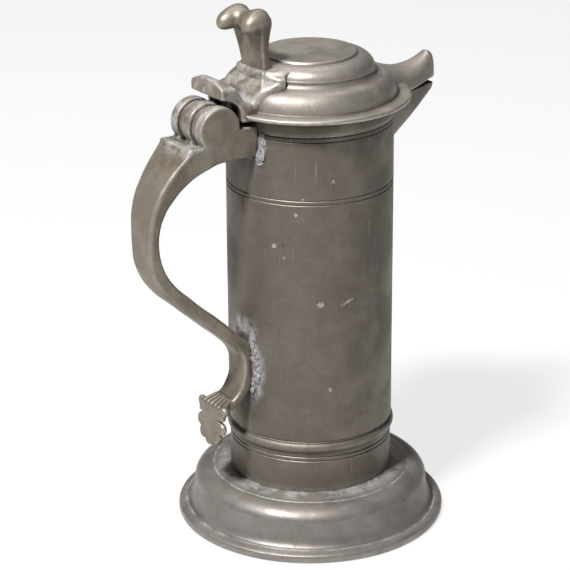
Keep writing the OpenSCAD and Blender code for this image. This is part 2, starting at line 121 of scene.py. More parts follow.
def eased(outline: Sequence[Point], radius: float, sharp: float = 12.0, closed: bool = True) -> list[Point]:
    """Rounds the corners of an outline.

    Args:
        outline: The corners in order.
        radius: Radius of the rounding; a short side takes a smaller one.
        sharp: Bends of fewer degrees than this stay as they are.
        closed: Whether the last corner joins the first.

    Returns:
        The outline with small arcs at its corners.
    """
    p = [np.asarray(q, float) for q in outline]
    made: list[Point] = []
    for i, here in enumerate(p):
        if not closed and i in (0, len(p) - 1):
            made.append((float(here[0]), float(here[1])))
            continue
        a, b = p[i - 1] - here, p[(i + 1) % len(p)] - here
        la, lb = float(np.linalg.norm(a)), float(np.linalg.norm(b))
        if la < 1e-9 or lb < 1e-9:
            continue
        a, b = a / la, b / lb
        opening = math.acos(max(-1.0, min(1.0, float(a @ b))))
        if math.degrees(math.pi - opening) < sharp:
            made.append((float(here[0]), float(here[1])))
            continue
        reach = min(radius / math.tan(opening / 2), 0.45 * la, 0.45 * lb)
        for t in np.linspace(0, 1, 6):
            q = (1 - t) ** 2 * (here + a * reach) + 2 * t * (1 - t) * here + t**2 * (here + b * reach)
            made.append((float(q[0]), float(q[1])))
    return made


def groove(r: float, z: float, width: float, depth: float) -> list[Point]:
    """Cuts a turned line into a wall, in an outline that runs up it.

    Args:
        r: Radius of the wall.
        z: Height of the line.
        width: Width of the line.
        depth: Depth of the line.

    Returns:
        The line's points, upwards.
    """
    steps = np.linspace(-1, 1, 9)
    return [(r - depth * math.cos(s * math.pi / 2) ** 2, z + s * width / 2) for s in steps]


def filled(outline: Sequence[Point], longest: float) -> list[Point]:
    """Adds points to the long sides of a closed outline.

    Args:
        outline: The corners in order.
        longest: The longest side that stays whole.

    Returns:
        The outline with its long sides cut up.
    """
    made: list[Point] = []
    for a, b in zip(outline, list(outline[1:]) + [outline[0]]):
        count = max(1, math.ceil(math.dist(a, b) / longest))
        made += [(a[0] + (b[0] - a[0]) * i / count, a[1] + (b[1] - a[1]) * i / count) for i in range(count)]
    return made


# Distance fields for the cast pieces


def outline_distance(u: np.ndarray, v: np.ndarray, outline: Sequence[Point]) -> np.ndarray:
    """Measures how far points are from a closed outline.

    Args:
        u: First coordinates.
        v: Second coordinates, which broadcast with the first.
        outline: The outline's corners.

    Returns:
        Distances, negative inside.
    """
    shape = np.broadcast(u, v).shape
    best = np.full(shape, np.inf)
    inside = np.zeros(shape, bool)
    for (x0, y0), (x1, y1) in zip(outline, list(outline[1:]) + [outline[0]]):
        dx, dy = x1 - x0, y1 - y0
        length = dx * dx + dy * dy
        if length < 1e-12:
            continue
        t = np.clip(((u - x0) * dx + (v - y0) * dy) / length, 0, 1)
        best = np.minimum(best, (u - x0 - t * dx) ** 2 + (v - y0 - t * dy) ** 2)
        if dy:
            inside ^= ((y0 > v) != (y1 > v)) & (u < x0 + (v - y0) * dx / dy)
    return np.where(inside, -1, 1) * np.sqrt(best)


def joined(a: np.ndarray, b: np.ndarray, fillet: float) -> np.ndarray:
    """Joins two fields with a fillet of about the given radius."""
    h = np.clip(0.5 + 0.5 * (b - a) / fillet, 0, 1)
    return b * (1 - h) + a * h - fillet * h * (1 - h)


def cut(a: np.ndarray, b: np.ndarray, ease: float) -> np.ndarray:
    """Cuts field b out of field a and eases the new edge."""
    return -joined(-a, b, ease)


def shared(a: np.ndarray, b: np.ndarray, ease: float) -> np.ndarray:
    """Keeps what lies in both fields and eases the new edge."""
    return -joined(-a, -b, ease)


def drawn_out(flat: np.ndarray, across: np.ndarray, half: Union[np.ndarray, float],
              ease: Union[np.ndarray, float]) -> np.ndarray:
    """Draws a flat field out to both sides, with rounded edges.

    Args:
        flat: Distances in the outline's plane.
        across: Distances from that plane.
        half: Half the width.
        ease: Radius of the edges.

    Returns:
        The solid's field.
    """
    a, b = flat + ease, np.abs(across) - half + ease
    return np.minimum(np.maximum(a, b), 0) + np.hypot(np.maximum(a, 0), np.maximum(b, 0)) - ease


def oval_distance(a: np.ndarray, b: np.ndarray, ra: np.ndarray, rb: np.ndarray, power: float = 2.0) -> np.ndarray:
    """Estimates how far points are from an oval.

    Args:
        a: Coordinates along the first axis.
        b: Coordinates along the second axis.
        ra: Half size along the first axis.
        rb: Half size along the second axis.
        power: 2 for an ellipse, more for a squarer one.

    Returns:
        Distances, negative inside.
    """
    pa, pb = np.abs(a) / ra, np.abs(b) / rb
    level = np.maximum(pa**power + pb**power, 1e-9)
    rho = level ** (1 / power)
    slope = np.hypot(pa ** (power - 1) / ra, pb ** (power - 1) / rb) * level ** (1 / power - 1)
    return (rho - 1) / np.maximum(slope, 1e-6)


@dataclass
class Field:
    """A block of sample points, in millimetres, on which a cast piece is shaped."""

    low: Triple
    high: Triple
    pitch: float

    def __post_init__(self) -> None:
        """Lays out the sample points."""
        axes = [np.arange(a, b + self.pitch, self.pitch) for a, b in zip(self.low, self.high)]
        self.x, self.y, self.z = np.meshgrid(*axes, indexing="ij", sparse=True)

    def revolved(self, outline: Sequence[Point]) -> np.ndarray:
        """Measures the distance to an outline turned about the flagon's axis.

        Args:
            outline: Radii and heights of the outline.

        Returns:
            Distances at the sample points.
        """
        r = np.hypot(self.x, self.y)
        step = self.pitch / 2
        radii = np.arange(0, float(r.max()) + 2 * step, step)
        table = outline_distance(radii[:, None], self.z.reshape(1, -1), outline)
        place = (r / step)[:, :, 0]
        index = place.astype(int)
        share = (place - index)[:, :, None]
        return table[index] * (1 - share) + table[index + 1] * share

    def mesh(self, name: str, values: np.ndarray, smooth: int = 3) -> bpy.types.Mesh:
        """Turns a field into a closed mesh.

        Args:
            name: The mesh's name.
            values: Distances at the sample points.
            smooth: Passes that even out the grid's marks.

        Returns:
            The mesh, in metres.
        """
        d = np.broadcast_to(values, (self.x.shape[0], self.y.shape[1], self.z.shape[2])).astype(np.float32)
        d = np.pad(d, 1, constant_values=self.pitch)
        cube = np.array([[i, j, k] for i in (0, 1) for j in (0, 1) for k in (0, 1)])
        n = np.array(d.shape) - 1
        low_side = np.zeros(n, np.int8)
        for i, j, k in cube:
            low_side += d[i:i + n[0], j:j + n[1], k:k + n[2]] < 0
        cells = np.argwhere((low_side > 0) & (low_side < 8))
        value = np.stack([d[tuple((cells + c).T)] for c in cube], 1)
        total, count = np.zeros((len(cells), 3)), np.zeros(len(cells))
        for a in range(8):
            for b in range(a + 1, 8):
                if np.abs(cube[a] - cube[b]).sum() != 1:
                    continue
                crossed = (value[:, a] < 0) != (value[:, b] < 0)
                va, vb = value[crossed, a], value[crossed, b]
                t = (va / (va - vb))[:, None]
                total[crossed] += cube[a] + t * (cube[b] - cube[a])
                count[crossed] += 1
        at = (cells + total / count[:, None] - 1) * self.pitch + np.asarray(self.low)
        index = np.full(n, -1, np.int64)
        index[tuple(cells.T)] = np.arange(len(cells))
        quads = np.concatenate([self._walls(d, index, axis) for axis in range(3)])
        at = even_out(at, quad_edges(quads), smooth)
        mesh = bpy.data.meshes.new(name)
        mesh.from_pydata((at * MM).tolist(), [], quads.tolist())
        return mesh

    @staticmethod
    def _walls(d: np.ndarray, index: np.ndarray, axis: int) -> np.ndarray:
        """Finds the quads that cross the grid's lines along one axis.

        Args:
            d: Distances at the sample points.
            index: The mesh point of each cell.
            axis: The lines' axis.

        Returns:
            Four point numbers a quad, turned outwards.
        """
        d, index = np.moveaxis(d, axis, 0), np.moveaxis(index, axis, 0)
        inner = d[:, 1:-1, 1:-1] < 0
        first, second = inner[:-1], inner[1:]
        i, j, k = np.nonzero(first != second)
        quads = np.stack([index[i, j, k], index[i, j + 1, k], index[i, j + 1, k + 1], index[i, j, k + 1]], 1)
        turned = first[i, j, k] if axis != 1 else ~first[i, j, k]
        quads[~turned] = quads[~turned][:, ::-1]
        return quads


# Meshes


def quad_edges(quads: np.ndarray) -> np.ndarray:
    """Lists each edge of some quads once."""
    edges = np.concatenate([quads[:, [i, (i + 1) % 4]] for i in range(4)])
    return np.unique(np.sort(edges, 1), axis=0)


def spread(values: np.ndarray, edges: np.ndarray) -> np.ndarray:
    """Averages values over each point's neighbours.

    Args:
        values: One row a point.
        edges: Pairs of points.

    Returns:
        The neighbours' averages.
    """
    flat = values.reshape(len(values), -1)
    ends, others = np.concatenate([edges[:, 0], edges[:, 1]]), np.concatenate([edges[:, 1], edges[:, 0]])
    count = np.maximum(np.bincount(ends, minlength=len(flat)), 1)
    sums = [np.bincount(ends, flat[others, c], len(flat)) / count for c in range(flat.shape[1])]
    return np.stack(sums, 1).reshape(values.shape)


def even_out(at: np.ndarray, edges: np.ndarray, passes: int) -> np.ndarray:
    """Smooths points without shrinking the shape.

    Args:
        at: The points.
        edges: Pairs of points.
        passes: How many times.

    Returns:
        The moved points.
    """
    for _ in range(passes):
        at = at + 0.6 * (spread(at, edges) - at)
        at = at - 0.62 * (spread(at, edges) - at)
    return at


def close_up(mesh: bpy.types.Mesh, distance: float = 1e-6) -> None:
    """Merges doubles and turns the faces outwards.

    Args:
        mesh: The mesh to mend.
        distance: How near two points are to be one, in metres.
    """
    work = bmesh.new()
    work.from_mesh(mesh)
    bmesh.ops.remove_doubles(work, verts=work.verts, dist=distance)
    bmesh.ops.recalc_face_normals(work, faces=work.faces)
    work.to_mesh(mesh)
    work.free()


def points_of(mesh: bpy.types.Mesh) -> np.ndarray:
    """Reads a mesh's points.

    Args:
        mesh: The mesh.

    Returns:
        One row a point, in metres.
    """
    at = np.empty(len(mesh.vertices) * 3, np.float32)
    mesh.vertices.foreach_get("co", at)
    return at.reshape(-1, 3).astype(float)


def normals_of(mesh: bpy.types.Mesh) -> np.ndarray:
    """Reads the directions in which a mesh's points face.

    Args:
        mesh: The mesh.

    Returns:
        One row a point.
    """
    normal = np.empty(len(mesh.vertices) * 3, np.float32)
    mesh.vertices.foreach_get("normal", normal)
    return normal.reshape(-1, 3)


def edges_of(mesh: bpy.types.Mesh) -> np.ndarray:
    """Reads a mesh's edges.

    Args:
        mesh: The mesh.

    Returns:
        Pairs of point numbers.
    """
    edges = np.empty(len(mesh.edges) * 2, np.int32)
    mesh.edges.foreach_get("vertices", edges)
    return edges.reshape(-1, 2)


def rising(values: np.ndarray, start: float, run: float) -> np.ndarray:
    """Gives 0 up to a start, and 1 from one run past it."""
    return np.clip((values - start) / run, 0, 1)


def linked(name: str, data: bpy.types.ID) -> bpy.types.Object:
    """Puts an object into the scene.

    Args:
        name: Its name.
        data: Its mesh, light or camera.

    Returns:
        The object.
    """
    item = bpy.data.objects.new(name, data)
    bpy.context.scene.collection.objects.link(item)
    return item


def evaluated(item: bpy.types.Object) -> bpy.types.Mesh:
    """Makes a plain mesh of what an object's modifiers give."""
    graph = bpy.context.evaluated_depsgraph_get()
    return bpy.data.meshes.new_from_object(item.evaluated_get(graph))


def mark_wear(mesh: bpy.types.Mesh, passes: int = 3) -> None:
    """Stores how convex and how hollow each point is, for the worn edges and the dirt in hollows.

    Args:
        mesh: The finished mesh.
        passes: How far the masks spread.
    """
    at, normal, edges = points_of(mesh) / MM, normals_of(mesh), edges_of(mesh)
    along = at[edges[:, 1]] - at[edges[:, 0]]
    square = np.maximum((along**2).sum(1), 0.02)
    bend = np.zeros(len(at))
    count = np.zeros(len(at))
    for end, sign in ((0, 1), (1, -1)):
        bend += np.bincount(edges[:, end], 2 * sign * (along * normal[edges[:, end]]).sum(1) / square, len(at))
        count += np.bincount(edges[:, end], minlength=len(at))
    bend /= np.maximum(count, 1)
    for _ in range(passes):
        bend = 0.5 * bend + 0.5 * spread(bend, edges)
    store(mesh, Attribute.WEAR, rising(-bend, 0.06, 0.35))
    store(mesh, Attribute.GRIME_AND_SHADE, rising(bend, 0.03, 0.3))


def store(mesh: bpy.types.Mesh, kind: Attribute, mask: np.ndarray) -> None:
    """Keeps a mask on a mesh's points.

    Args:
        mesh: The mesh.
        kind: The mask's name.
        mask: One value a point.
    """
    layer = mesh.attributes.new(kind.value, "FLOAT", "POINT")
    layer.data.foreach_set("value", np.asarray(mask, np.float32))


def wobble(at: np.ndarray, seed: int) -> np.ndarray:
    """Gives smooth random values between -1 and 1.

    Args:
        at: Places, about one wave a unit.
        seed: Which pattern.

    Returns:
        One value a place.
    """
    table = np.random.default_rng(seed).uniform(-1, 1, (32, 32, 32))
    base = np.floor(at).astype(int)
    share = at - base
    share = share * share * (3 - 2 * share)
    total = np.zeros(len(at))
    for corner in np.ndindex(2, 2, 2):
        weight = np.prod(np.where(corner, share, 1 - share), axis=1)
        total += weight * table[tuple(((base + corner) % 32).T)]
    return total


def roughen(mesh: bpy.types.Mesh, size: float, depth: Union[float, np.ndarray], seed: int) -> None:
    """Moves points in and out a little, as a hand-finished surface does.

    Args:
        mesh: The mesh to move.
        size: Width of the unevenness, in millimetres.
        depth: Its depth in millimetres, one for all or one a point.
        seed: Which pattern.
    """
    at = points_of(mesh) / MM
    at += normals_of(mesh) * (wobble(at / size, seed) * depth)[:, None]
    mesh.vertices.foreach_set("co", (at * MM).astype(np.float32).ravel())
    mesh.update()


def settle(name: str, mesh: bpy.types.Mesh, node: str, body: Body,
           material: bpy.types.Material) -> None:
    """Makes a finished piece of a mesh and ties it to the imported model.

    Args:
        name: The piece's name.
        mesh: Its mesh, in place.
        node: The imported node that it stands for.
        body: The body that it rides on.
        material: Its finish.
    """
    mesh.materials.clear()
    mesh.materials.append(material)
    mesh.polygons.foreach_set("use_smooth", np.ones(len(mesh.polygons), bool))
    mark_wear(mesh)
    piece = linked(name, mesh)
    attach(piece, body.value)
    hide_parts(node)
    LOG.info("%s: %d faces, rides on %s", name, len(mesh.polygons), body.value)


def paint_occlusion_shade(pieces: Sequence[bpy.types.Object], reach: float = 0.02, strength: float = 0.8,
            lift: float = 0.15 * MM) -> None:
    """Paints shade where other metal stands close and blocks light, an ambient-occlusion darkening added to the mask of
    dirt in hollows.

    Args:
        pieces: The finished pieces.
        reach: How far off nearby metal still adds painted shade, in metres.
        strength: The painted shade in a fully closed-in place.
        lift: How far off the metal a look round starts, in metres.
    """
    points: list[list[float]] = []
    faces: list[list[int]] = []
    for piece in pieces:
        piece.data.calc_loop_triangles()
        corner = np.empty(len(piece.data.loop_triangles) * 3, np.int32)
        piece.data.loop_triangles.foreach_get("vertices", corner)
        faces += (corner.reshape(-1, 3) + len(points)).tolist()
        points += points_of(piece.data).tolist()
    tree = BVHTree.FromPolygons(points, faces, all_triangles=True)
    tilts = [(math.cos(a) * t, math.sin(a) * t, math.sqrt(1 - t * t)) for a, t in OCCLUSION_SHADE_WAYS]
    for piece in pieces:
        mesh = piece.data
        normal = normals_of(mesh).astype(float)
        side = np.cross(normal, np.where(np.abs(normal[:, 2:]) < 0.9, (0.0, 0.0, 1.0), (1.0, 0.0, 0.0)))
        side /= np.maximum(np.linalg.norm(side, axis=1, keepdims=True), 1e-9)
        other = np.cross(normal, side)
        start = (points_of(mesh) + normal * lift).tolist()
        hits = np.zeros(len(start))
        for a, b, c in tilts:
            ways = (a * side + b * other + c * normal).tolist()
            hits += [tree.ray_cast(p, d, reach)[0] is not None for p, d in zip(start, ways)]
        edges = edges_of(mesh)
        share = hits / len(tilts)
        for _ in range(5):
            share = 0.4 * share + 0.6 * spread(share, edges)
        layer = mesh.attributes[Attribute.GRIME_AND_SHADE.value]
        grime_and_shade = np.empty(len(start), np.float32)
        layer.data.foreach_get("value", grime_and_shade)
        # painted shade from nearby metal joins the dirt in hollows
        grime_and_shade = np.maximum(grime_and_shade, strength * rising(share, 0.12, 0.6))
        layer.data.foreach_set("value", grime_and_shade.astype(np.float32))
        mesh.update()


def carve(mesh: bpy.types.Mesh, cutter: bpy.types.Mesh) -> bpy.types.Mesh:
    """Cuts one closed mesh out of another.

    Args:
        mesh: What is cut.
        cutter: What is taken away.

    Returns:
        The result as a new mesh.
    """
    target, tool = linked("carve_target", mesh), linked("carve_tool", cutter)
    step = target.modifiers.new("carve", "BOOLEAN")
    step.operation = "DIFFERENCE"
    step.solver = "EXACT"
    step.object = tool
    made = evaluated(target)
    bpy.data.objects.remove(target)
    bpy.data.objects.remove(tool)
    return made


def lay_along(mesh: bpy.types.Mesh, hinge: Point) -> None:
    """Turns a shape made upright so that it lies along the hinge.

    Args:
        mesh: The shape.
        hinge: Place of the hinge from the side, in millimetres.
    """
    for vertex in mesh.vertices:
        x, y, z = vertex.co
        vertex.co = (hinge[0] * MM + x, z, hinge[1] * MM - y)
    close_up(mesh)


# Node trees


class NodeSheet:
    """Adds nodes to one tree and joins them."""

    def __init__(self, tree: bpy.types.NodeTree) -> None:
        """Takes the tree to draw on."""
        self.tree = tree

    def add(self, kind: str, **settings: object) -> bpy.types.Node:
        """Adds a node.

        Args:
            kind: Its type.
            **settings: Properties to set on it.

        Returns:
            The node.
        """
        node = self.tree.nodes.new(kind)
        for key, value in settings.items():
            setattr(node, key, value)
        return node

    def feed(self, socket: bpy.types.NodeSocket, value: Feed) -> None:
        """Joins a socket to another, or sets its value.

        Args:
            socket: The input.
            value: An output, a number or a colour.
        """
        if isinstance(value, bpy.types.NodeSocket):
            self.tree.links.new(value, socket)
        elif isinstance(value, tuple) and socket.type == "RGBA":
            socket.default_value = (*value, 1.0)
        else:
            socket.default_value = value

    def wire(self, kind: str, feeds: dict[Union[str, int], Feed], **settings: object) -> bpy.types.Node:
        """Adds a node and feeds it.

        Args:
            kind: Its type.
            feeds: What its inputs get, by name or number.
            **settings: Properties to set on it.

        Returns:
            The node.
        """
        node = self.add(kind, **settings)
        for key, value in feeds.items():
            self.feed(node.inputs[key], value)
        return node

    def mask(self, kind: Attribute) -> bpy.types.NodeSocket:
        """Reads a mask that the mesh carries."""
        return self.add("ShaderNodeAttribute", attribute_name=kind.value).outputs["Fac"]

    def sum(self, operation: str, a: Feed, b: Feed = 0.0, clamp: bool = False) -> bpy.types.NodeSocket:
        """Adds a Math node.

        Args:
            operation: What it does.
            a: First value.
            b: Second value.
            clamp: Whether the result stays between 0 and 1.

        Returns:
            The result.
        """
        return self.wire("ShaderNodeMath", {0: a, 1: b}, operation=operation, use_clamp=clamp).outputs[0]

    def ramp(self, value: Feed, low: Feed, high: Feed, to_low: Feed = 0.0, to_high: Feed = 1.0) -> bpy.types.NodeSocket:
        """Adds a smooth Map Range node.

        Args:
            value: What is mapped.
            low: Value that gives to_low.
            high: Value that gives to_high.
            to_low: First result.
            to_high: Last result.

        Returns:
            The mapped value.
        """
        feeds = dict(enumerate((value, low, high, to_low, to_high)))
        return self.wire("ShaderNodeMapRange", feeds, interpolation_type="SMOOTHSTEP").outputs[0]

    def blend(self, factor: Feed, a: Feed, b: Feed, mode: str = "MIX") -> bpy.types.NodeSocket:
        """Adds a colour Mix node.

        Args:
            factor: Share of the second colour.
            a: First colour.
            b: Second colour.
            mode: How they are mixed.

        Returns:
            The mixed colour.
        """
        return self.wire("ShaderNodeMix", {0: factor, 6: a, 7: b}, data_type="RGBA", blend_type=mode).outputs[2]

    def noise(self, vector: bpy.types.NodeSocket, scale: Feed, detail: float = 3.0,
              rough: float = 0.55) -> bpy.types.NodeSocket:
        """Adds a Noise node.

        Args:
            vector: Where it is read.
            scale: Waves a metre.
            detail: How many finer layers.
            rough: How strong they are.

        Returns:
            Its value.
        """
        feeds = {"Vector": vector, "Scale": scale, "Detail": detail, "Roughness": rough}
        return self.wire("ShaderNodeTexNoise", feeds).outputs[0]

    def place(self) -> bpy.types.NodeSocket:
        """Gives the piece's own coordinates."""
        return self.add("ShaderNodeTexCoord").outputs["Object"]


GroupParts = tuple[bpy.types.NodeTree, NodeSheet, bpy.types.Node, bpy.types.Node]


class PewterEffects:
    """The effects that the finishes share, each a node group built once."""

    def __init__(self) -> None:
        """Builds the groups."""
        self.patina = self._patina()
        self.tooling = self._tooling()
        self.wear = self._wear()
        self.nick = self._nick()
        self.frost = self._frost()

    @staticmethod
    def _group(name: str, inputs: dict[str, str], outputs: dict[str, str]) -> GroupParts:
        """Starts a group with named sockets.

        Args:
            name: The group's name.
            inputs: Socket types by name.
            outputs: Socket types by name.

        Returns:
            The group, its sheet, and its input and output nodes.
        """
        tree = bpy.data.node_groups.new(name, "ShaderNodeTree")
        for sockets, side in ((inputs, "INPUT"), (outputs, "OUTPUT")):
            for socket, kind in sockets.items():
                tree.interface.new_socket(name=socket, in_out=side, socket_type=kind)
        sheet = NodeSheet(tree)
        return tree, sheet, sheet.add("NodeGroupInput"), sheet.add("NodeGroupOutput")

    def _patina(self) -> bpy.types.NodeTree:
        """Builds the cloudy, speckled colour of old pewter.

        Returns:
            The group.
        """
        tree, sheet, given, result = self._group(
            "old_patina",
            {"Clean": "NodeSocketColor", "Dull": "NodeSocketColor", "Warm": "NodeSocketColor",
             "Scale": "NodeSocketFloat", "Speckle": "NodeSocketFloat"},
            {"Color": "NodeSocketColor", "Dullness": "NodeSocketFloat", "Height": "NodeSocketFloat"})
        at = sheet.place()
        scale = given.outputs["Scale"]
        clouds = sheet.noise(at, scale, 5.0, 0.6)
        stains = sheet.noise(at, sheet.sum("MULTIPLY", scale, 2.2), 4.0, 0.6)
        grain = sheet.noise(at, sheet.sum("MULTIPLY", scale, 26.0), 3.0, 0.7)
        dull = sheet.ramp(clouds, 0.38, 0.64)
        colour = sheet.blend(dull, given.outputs["Clean"], given.outputs["Dull"])
        warm = sheet.sum("MULTIPLY", sheet.ramp(stains, 0.34, 0.74), 0.7)
        colour = sheet.blend(warm, colour, given.outputs["Warm"])
        speck = sheet.ramp(grain, 0.3, 0.7, 0.82, 1.18)
        shade = sheet.blend(given.outputs["Speckle"], (1.0, 1.0, 1.0), speck)
        colour = sheet.blend(1.0, colour, shade, "MULTIPLY")
        spots = sheet.ramp(sheet.noise(at, sheet.sum("MULTIPLY", scale, 13.0), 2.0, 0.5), 0.66, 0.74)
        pits = sheet.sum("MULTIPLY", spots, sheet.ramp(stains, 0.46, 0.6))
        colour = sheet.blend(sheet.sum("MULTIPLY", pits, 0.6), colour, (0.06, 0.05, 0.04))
        slant = sheet.wire("ShaderNodeMapping", {"Vector": at, "Rotation": (0.35, 0.25, 0.6),
                                                 "Scale": (1.0, 1.0, 0.05)})
        hairs = sheet.ramp(sheet.noise(slant.outputs["Vector"], 900.0, 2.0, 0.5), 0.64, 0.72)
        hairs = sheet.sum("MULTIPLY", hairs, sheet.ramp(clouds, 0.5, 0.6))
        sheet.feed(result.inputs["Color"], sheet.blend(sheet.sum("MULTIPLY", hairs, 0.22), colour, (0.6, 0.57, 0.53)))
        sheet.feed(result.inputs["Dullness"], dull)
        uneven = sheet.sum("ADD", sheet.sum("MULTIPLY", stains, 0.7), grain)
        sheet.feed(result.inputs["Height"], sheet.sum("SUBTRACT", uneven, sheet.sum("MULTIPLY", pits, 1.5)))
        return tree

    def _tooling(self) -> bpy.types.NodeTree:
        """Builds the fine rings that a lathe tool leaves.

        Returns:
            The group.
        """
        tree, sheet, given, result = self._group(
            "lathe_marks", {"Lines": "NodeSocketFloat"},
            {"Height": "NodeSocketFloat", "Streak": "NodeSocketFloat"})
        at = sheet.place()
        parts = sheet.wire("ShaderNodeSeparateXYZ", {0: at})
        squares = [sheet.sum("POWER", sheet.sum("ABSOLUTE", part), 2.0) for part in parts.outputs[:2]]
        radius = sheet.sum("SQRT", sheet.sum("ADD", *squares))
        along = sheet.sum("ADD", sheet.sum("MULTIPLY", radius, 0.8), parts.outputs[2])
        line = sheet.wire("ShaderNodeTexNoise", {"W": along, "Scale": given.outputs["Lines"], "Detail": 2.0},
                          noise_dimensions="1D")
        broken = sheet.ramp(sheet.noise(at, 55.0, 3.0), 0.4, 0.62)
        sheet.feed(result.inputs["Height"], sheet.sum("MULTIPLY", line.outputs[0], broken))
        sheet.feed(result.inputs["Streak"], sheet.sum("MULTIPLY", sheet.ramp(line.outputs[0], 0.35, 0.7), broken))
        return tree

    def _wear(self) -> bpy.types.NodeTree:
        """Builds bright rubbed edges, dirt in hollows and painted shade where metal stands close, from the mesh's
        masks.

        Returns:
            The group.
        """
        tree, sheet, given, result = self._group(
            "rubbed_edges_and_shade",
            {"Color": "NodeSocketColor", "Bright": "NodeSocketColor", "Dark": "NodeSocketColor",
             "Wear": "NodeSocketFloat", "GrimeAndShade": "NodeSocketFloat"},
            {"Color": "NodeSocketColor", "Rubbed": "NodeSocketFloat"})
        at = sheet.place()
        broken = sheet.ramp(sheet.noise(at, 240.0, 4.0, 0.6), 0.3, 0.62, 0.35, 1.0)
        worn = sheet.sum("MULTIPLY", sheet.mask(Attribute.WEAR), broken)
        rubbed = sheet.sum("MULTIPLY", worn, given.outputs["Wear"], True)
        # darkens the dirt in hollows and the painted ambient-occlusion shade toward the dark colour
        dirt_and_shade = sheet.sum("MULTIPLY", sheet.mask(Attribute.GRIME_AND_SHADE), given.outputs["GrimeAndShade"], True)
        colour = sheet.blend(dirt_and_shade, given.outputs["Color"], given.outputs["Dark"])
        sheet.feed(result.inputs["Color"], sheet.blend(rubbed, colour, given.outputs["Bright"]))
        sheet.feed(result.inputs["Rubbed"], rubbed)
        return tree

    def _nick(self) -> bpy.types.NodeTree:
        """Builds one small bright knock at a given place.

        Returns:
            The group.
        """
        tree, sheet, given, result = self._group(
            "small_nick", {"Centre": "NodeSocketVector", "Size": "NodeSocketVector", "Turn": "NodeSocketVector"},
            {"Mask": "NodeSocketFloat"})
        at = sheet.place()
        away = sheet.wire("ShaderNodeVectorMath", {0: at, 1: given.outputs["Centre"]}, operation="SUBTRACT")
        turned = sheet.wire("ShaderNodeVectorRotate", {"Vector": away.outputs[0], "Rotation": given.outputs["Turn"]},
                            rotation_type="EULER_XYZ")
        scaled = sheet.wire("ShaderNodeVectorMath", {0: turned.outputs[0], 1: given.outputs["Size"]},
                            operation="DIVIDE")
        length = sheet.wire("ShaderNodeVectorMath", {0: scaled.outputs[0]}, operation="LENGTH")
        ragged = sheet.sum("ADD", length.outputs["Value"], sheet.sum("MULTIPLY", sheet.noise(at, 1100.0, 2.0), 2.6))
        sheet.feed(result.inputs["Mask"], sheet.ramp(ragged, 1.75, 2.15, 1.0, 0.0))
        return tree

    def _frost(self) -> bpy.types.NodeTree:
        """Builds pale, chalky patches where the mesh asks for them.

        Returns:
            The group.
        """
        tree, sheet, given, result = self._group(
            "pale_frost", {"Color": "NodeSocketColor", "Pale": "NodeSocketColor", "Amount": "NodeSocketFloat"},
            {"Color": "NodeSocketColor", "Mask": "NodeSocketFloat"})
        at = sheet.place()
        patches = sheet.ramp(sheet.noise(at, 130.0, 4.0, 0.65), 0.34, 0.62)
        flecks = sheet.ramp(sheet.noise(at, 800.0, 3.0, 0.6), 0.3, 0.65, 0.45, 1.0)
        mask = sheet.sum("MULTIPLY", sheet.sum("MULTIPLY", patches, flecks), sheet.mask(Attribute.FROST))
        mask = sheet.sum("MULTIPLY", mask, given.outputs["Amount"], True)
        sheet.feed(result.inputs["Color"], sheet.blend(mask, given.outputs["Color"], given.outputs["Pale"]))
        sheet.feed(result.inputs["Mask"], mask)
        return tree


@dataclass(frozen=True)
class Nick:
    """A small knock: its place and half sizes in millimetres, and its turn about the axis and off the upright."""

    at: Triple
    size: Triple
    turn: Triple = (0.0, 0.0, 0.0)


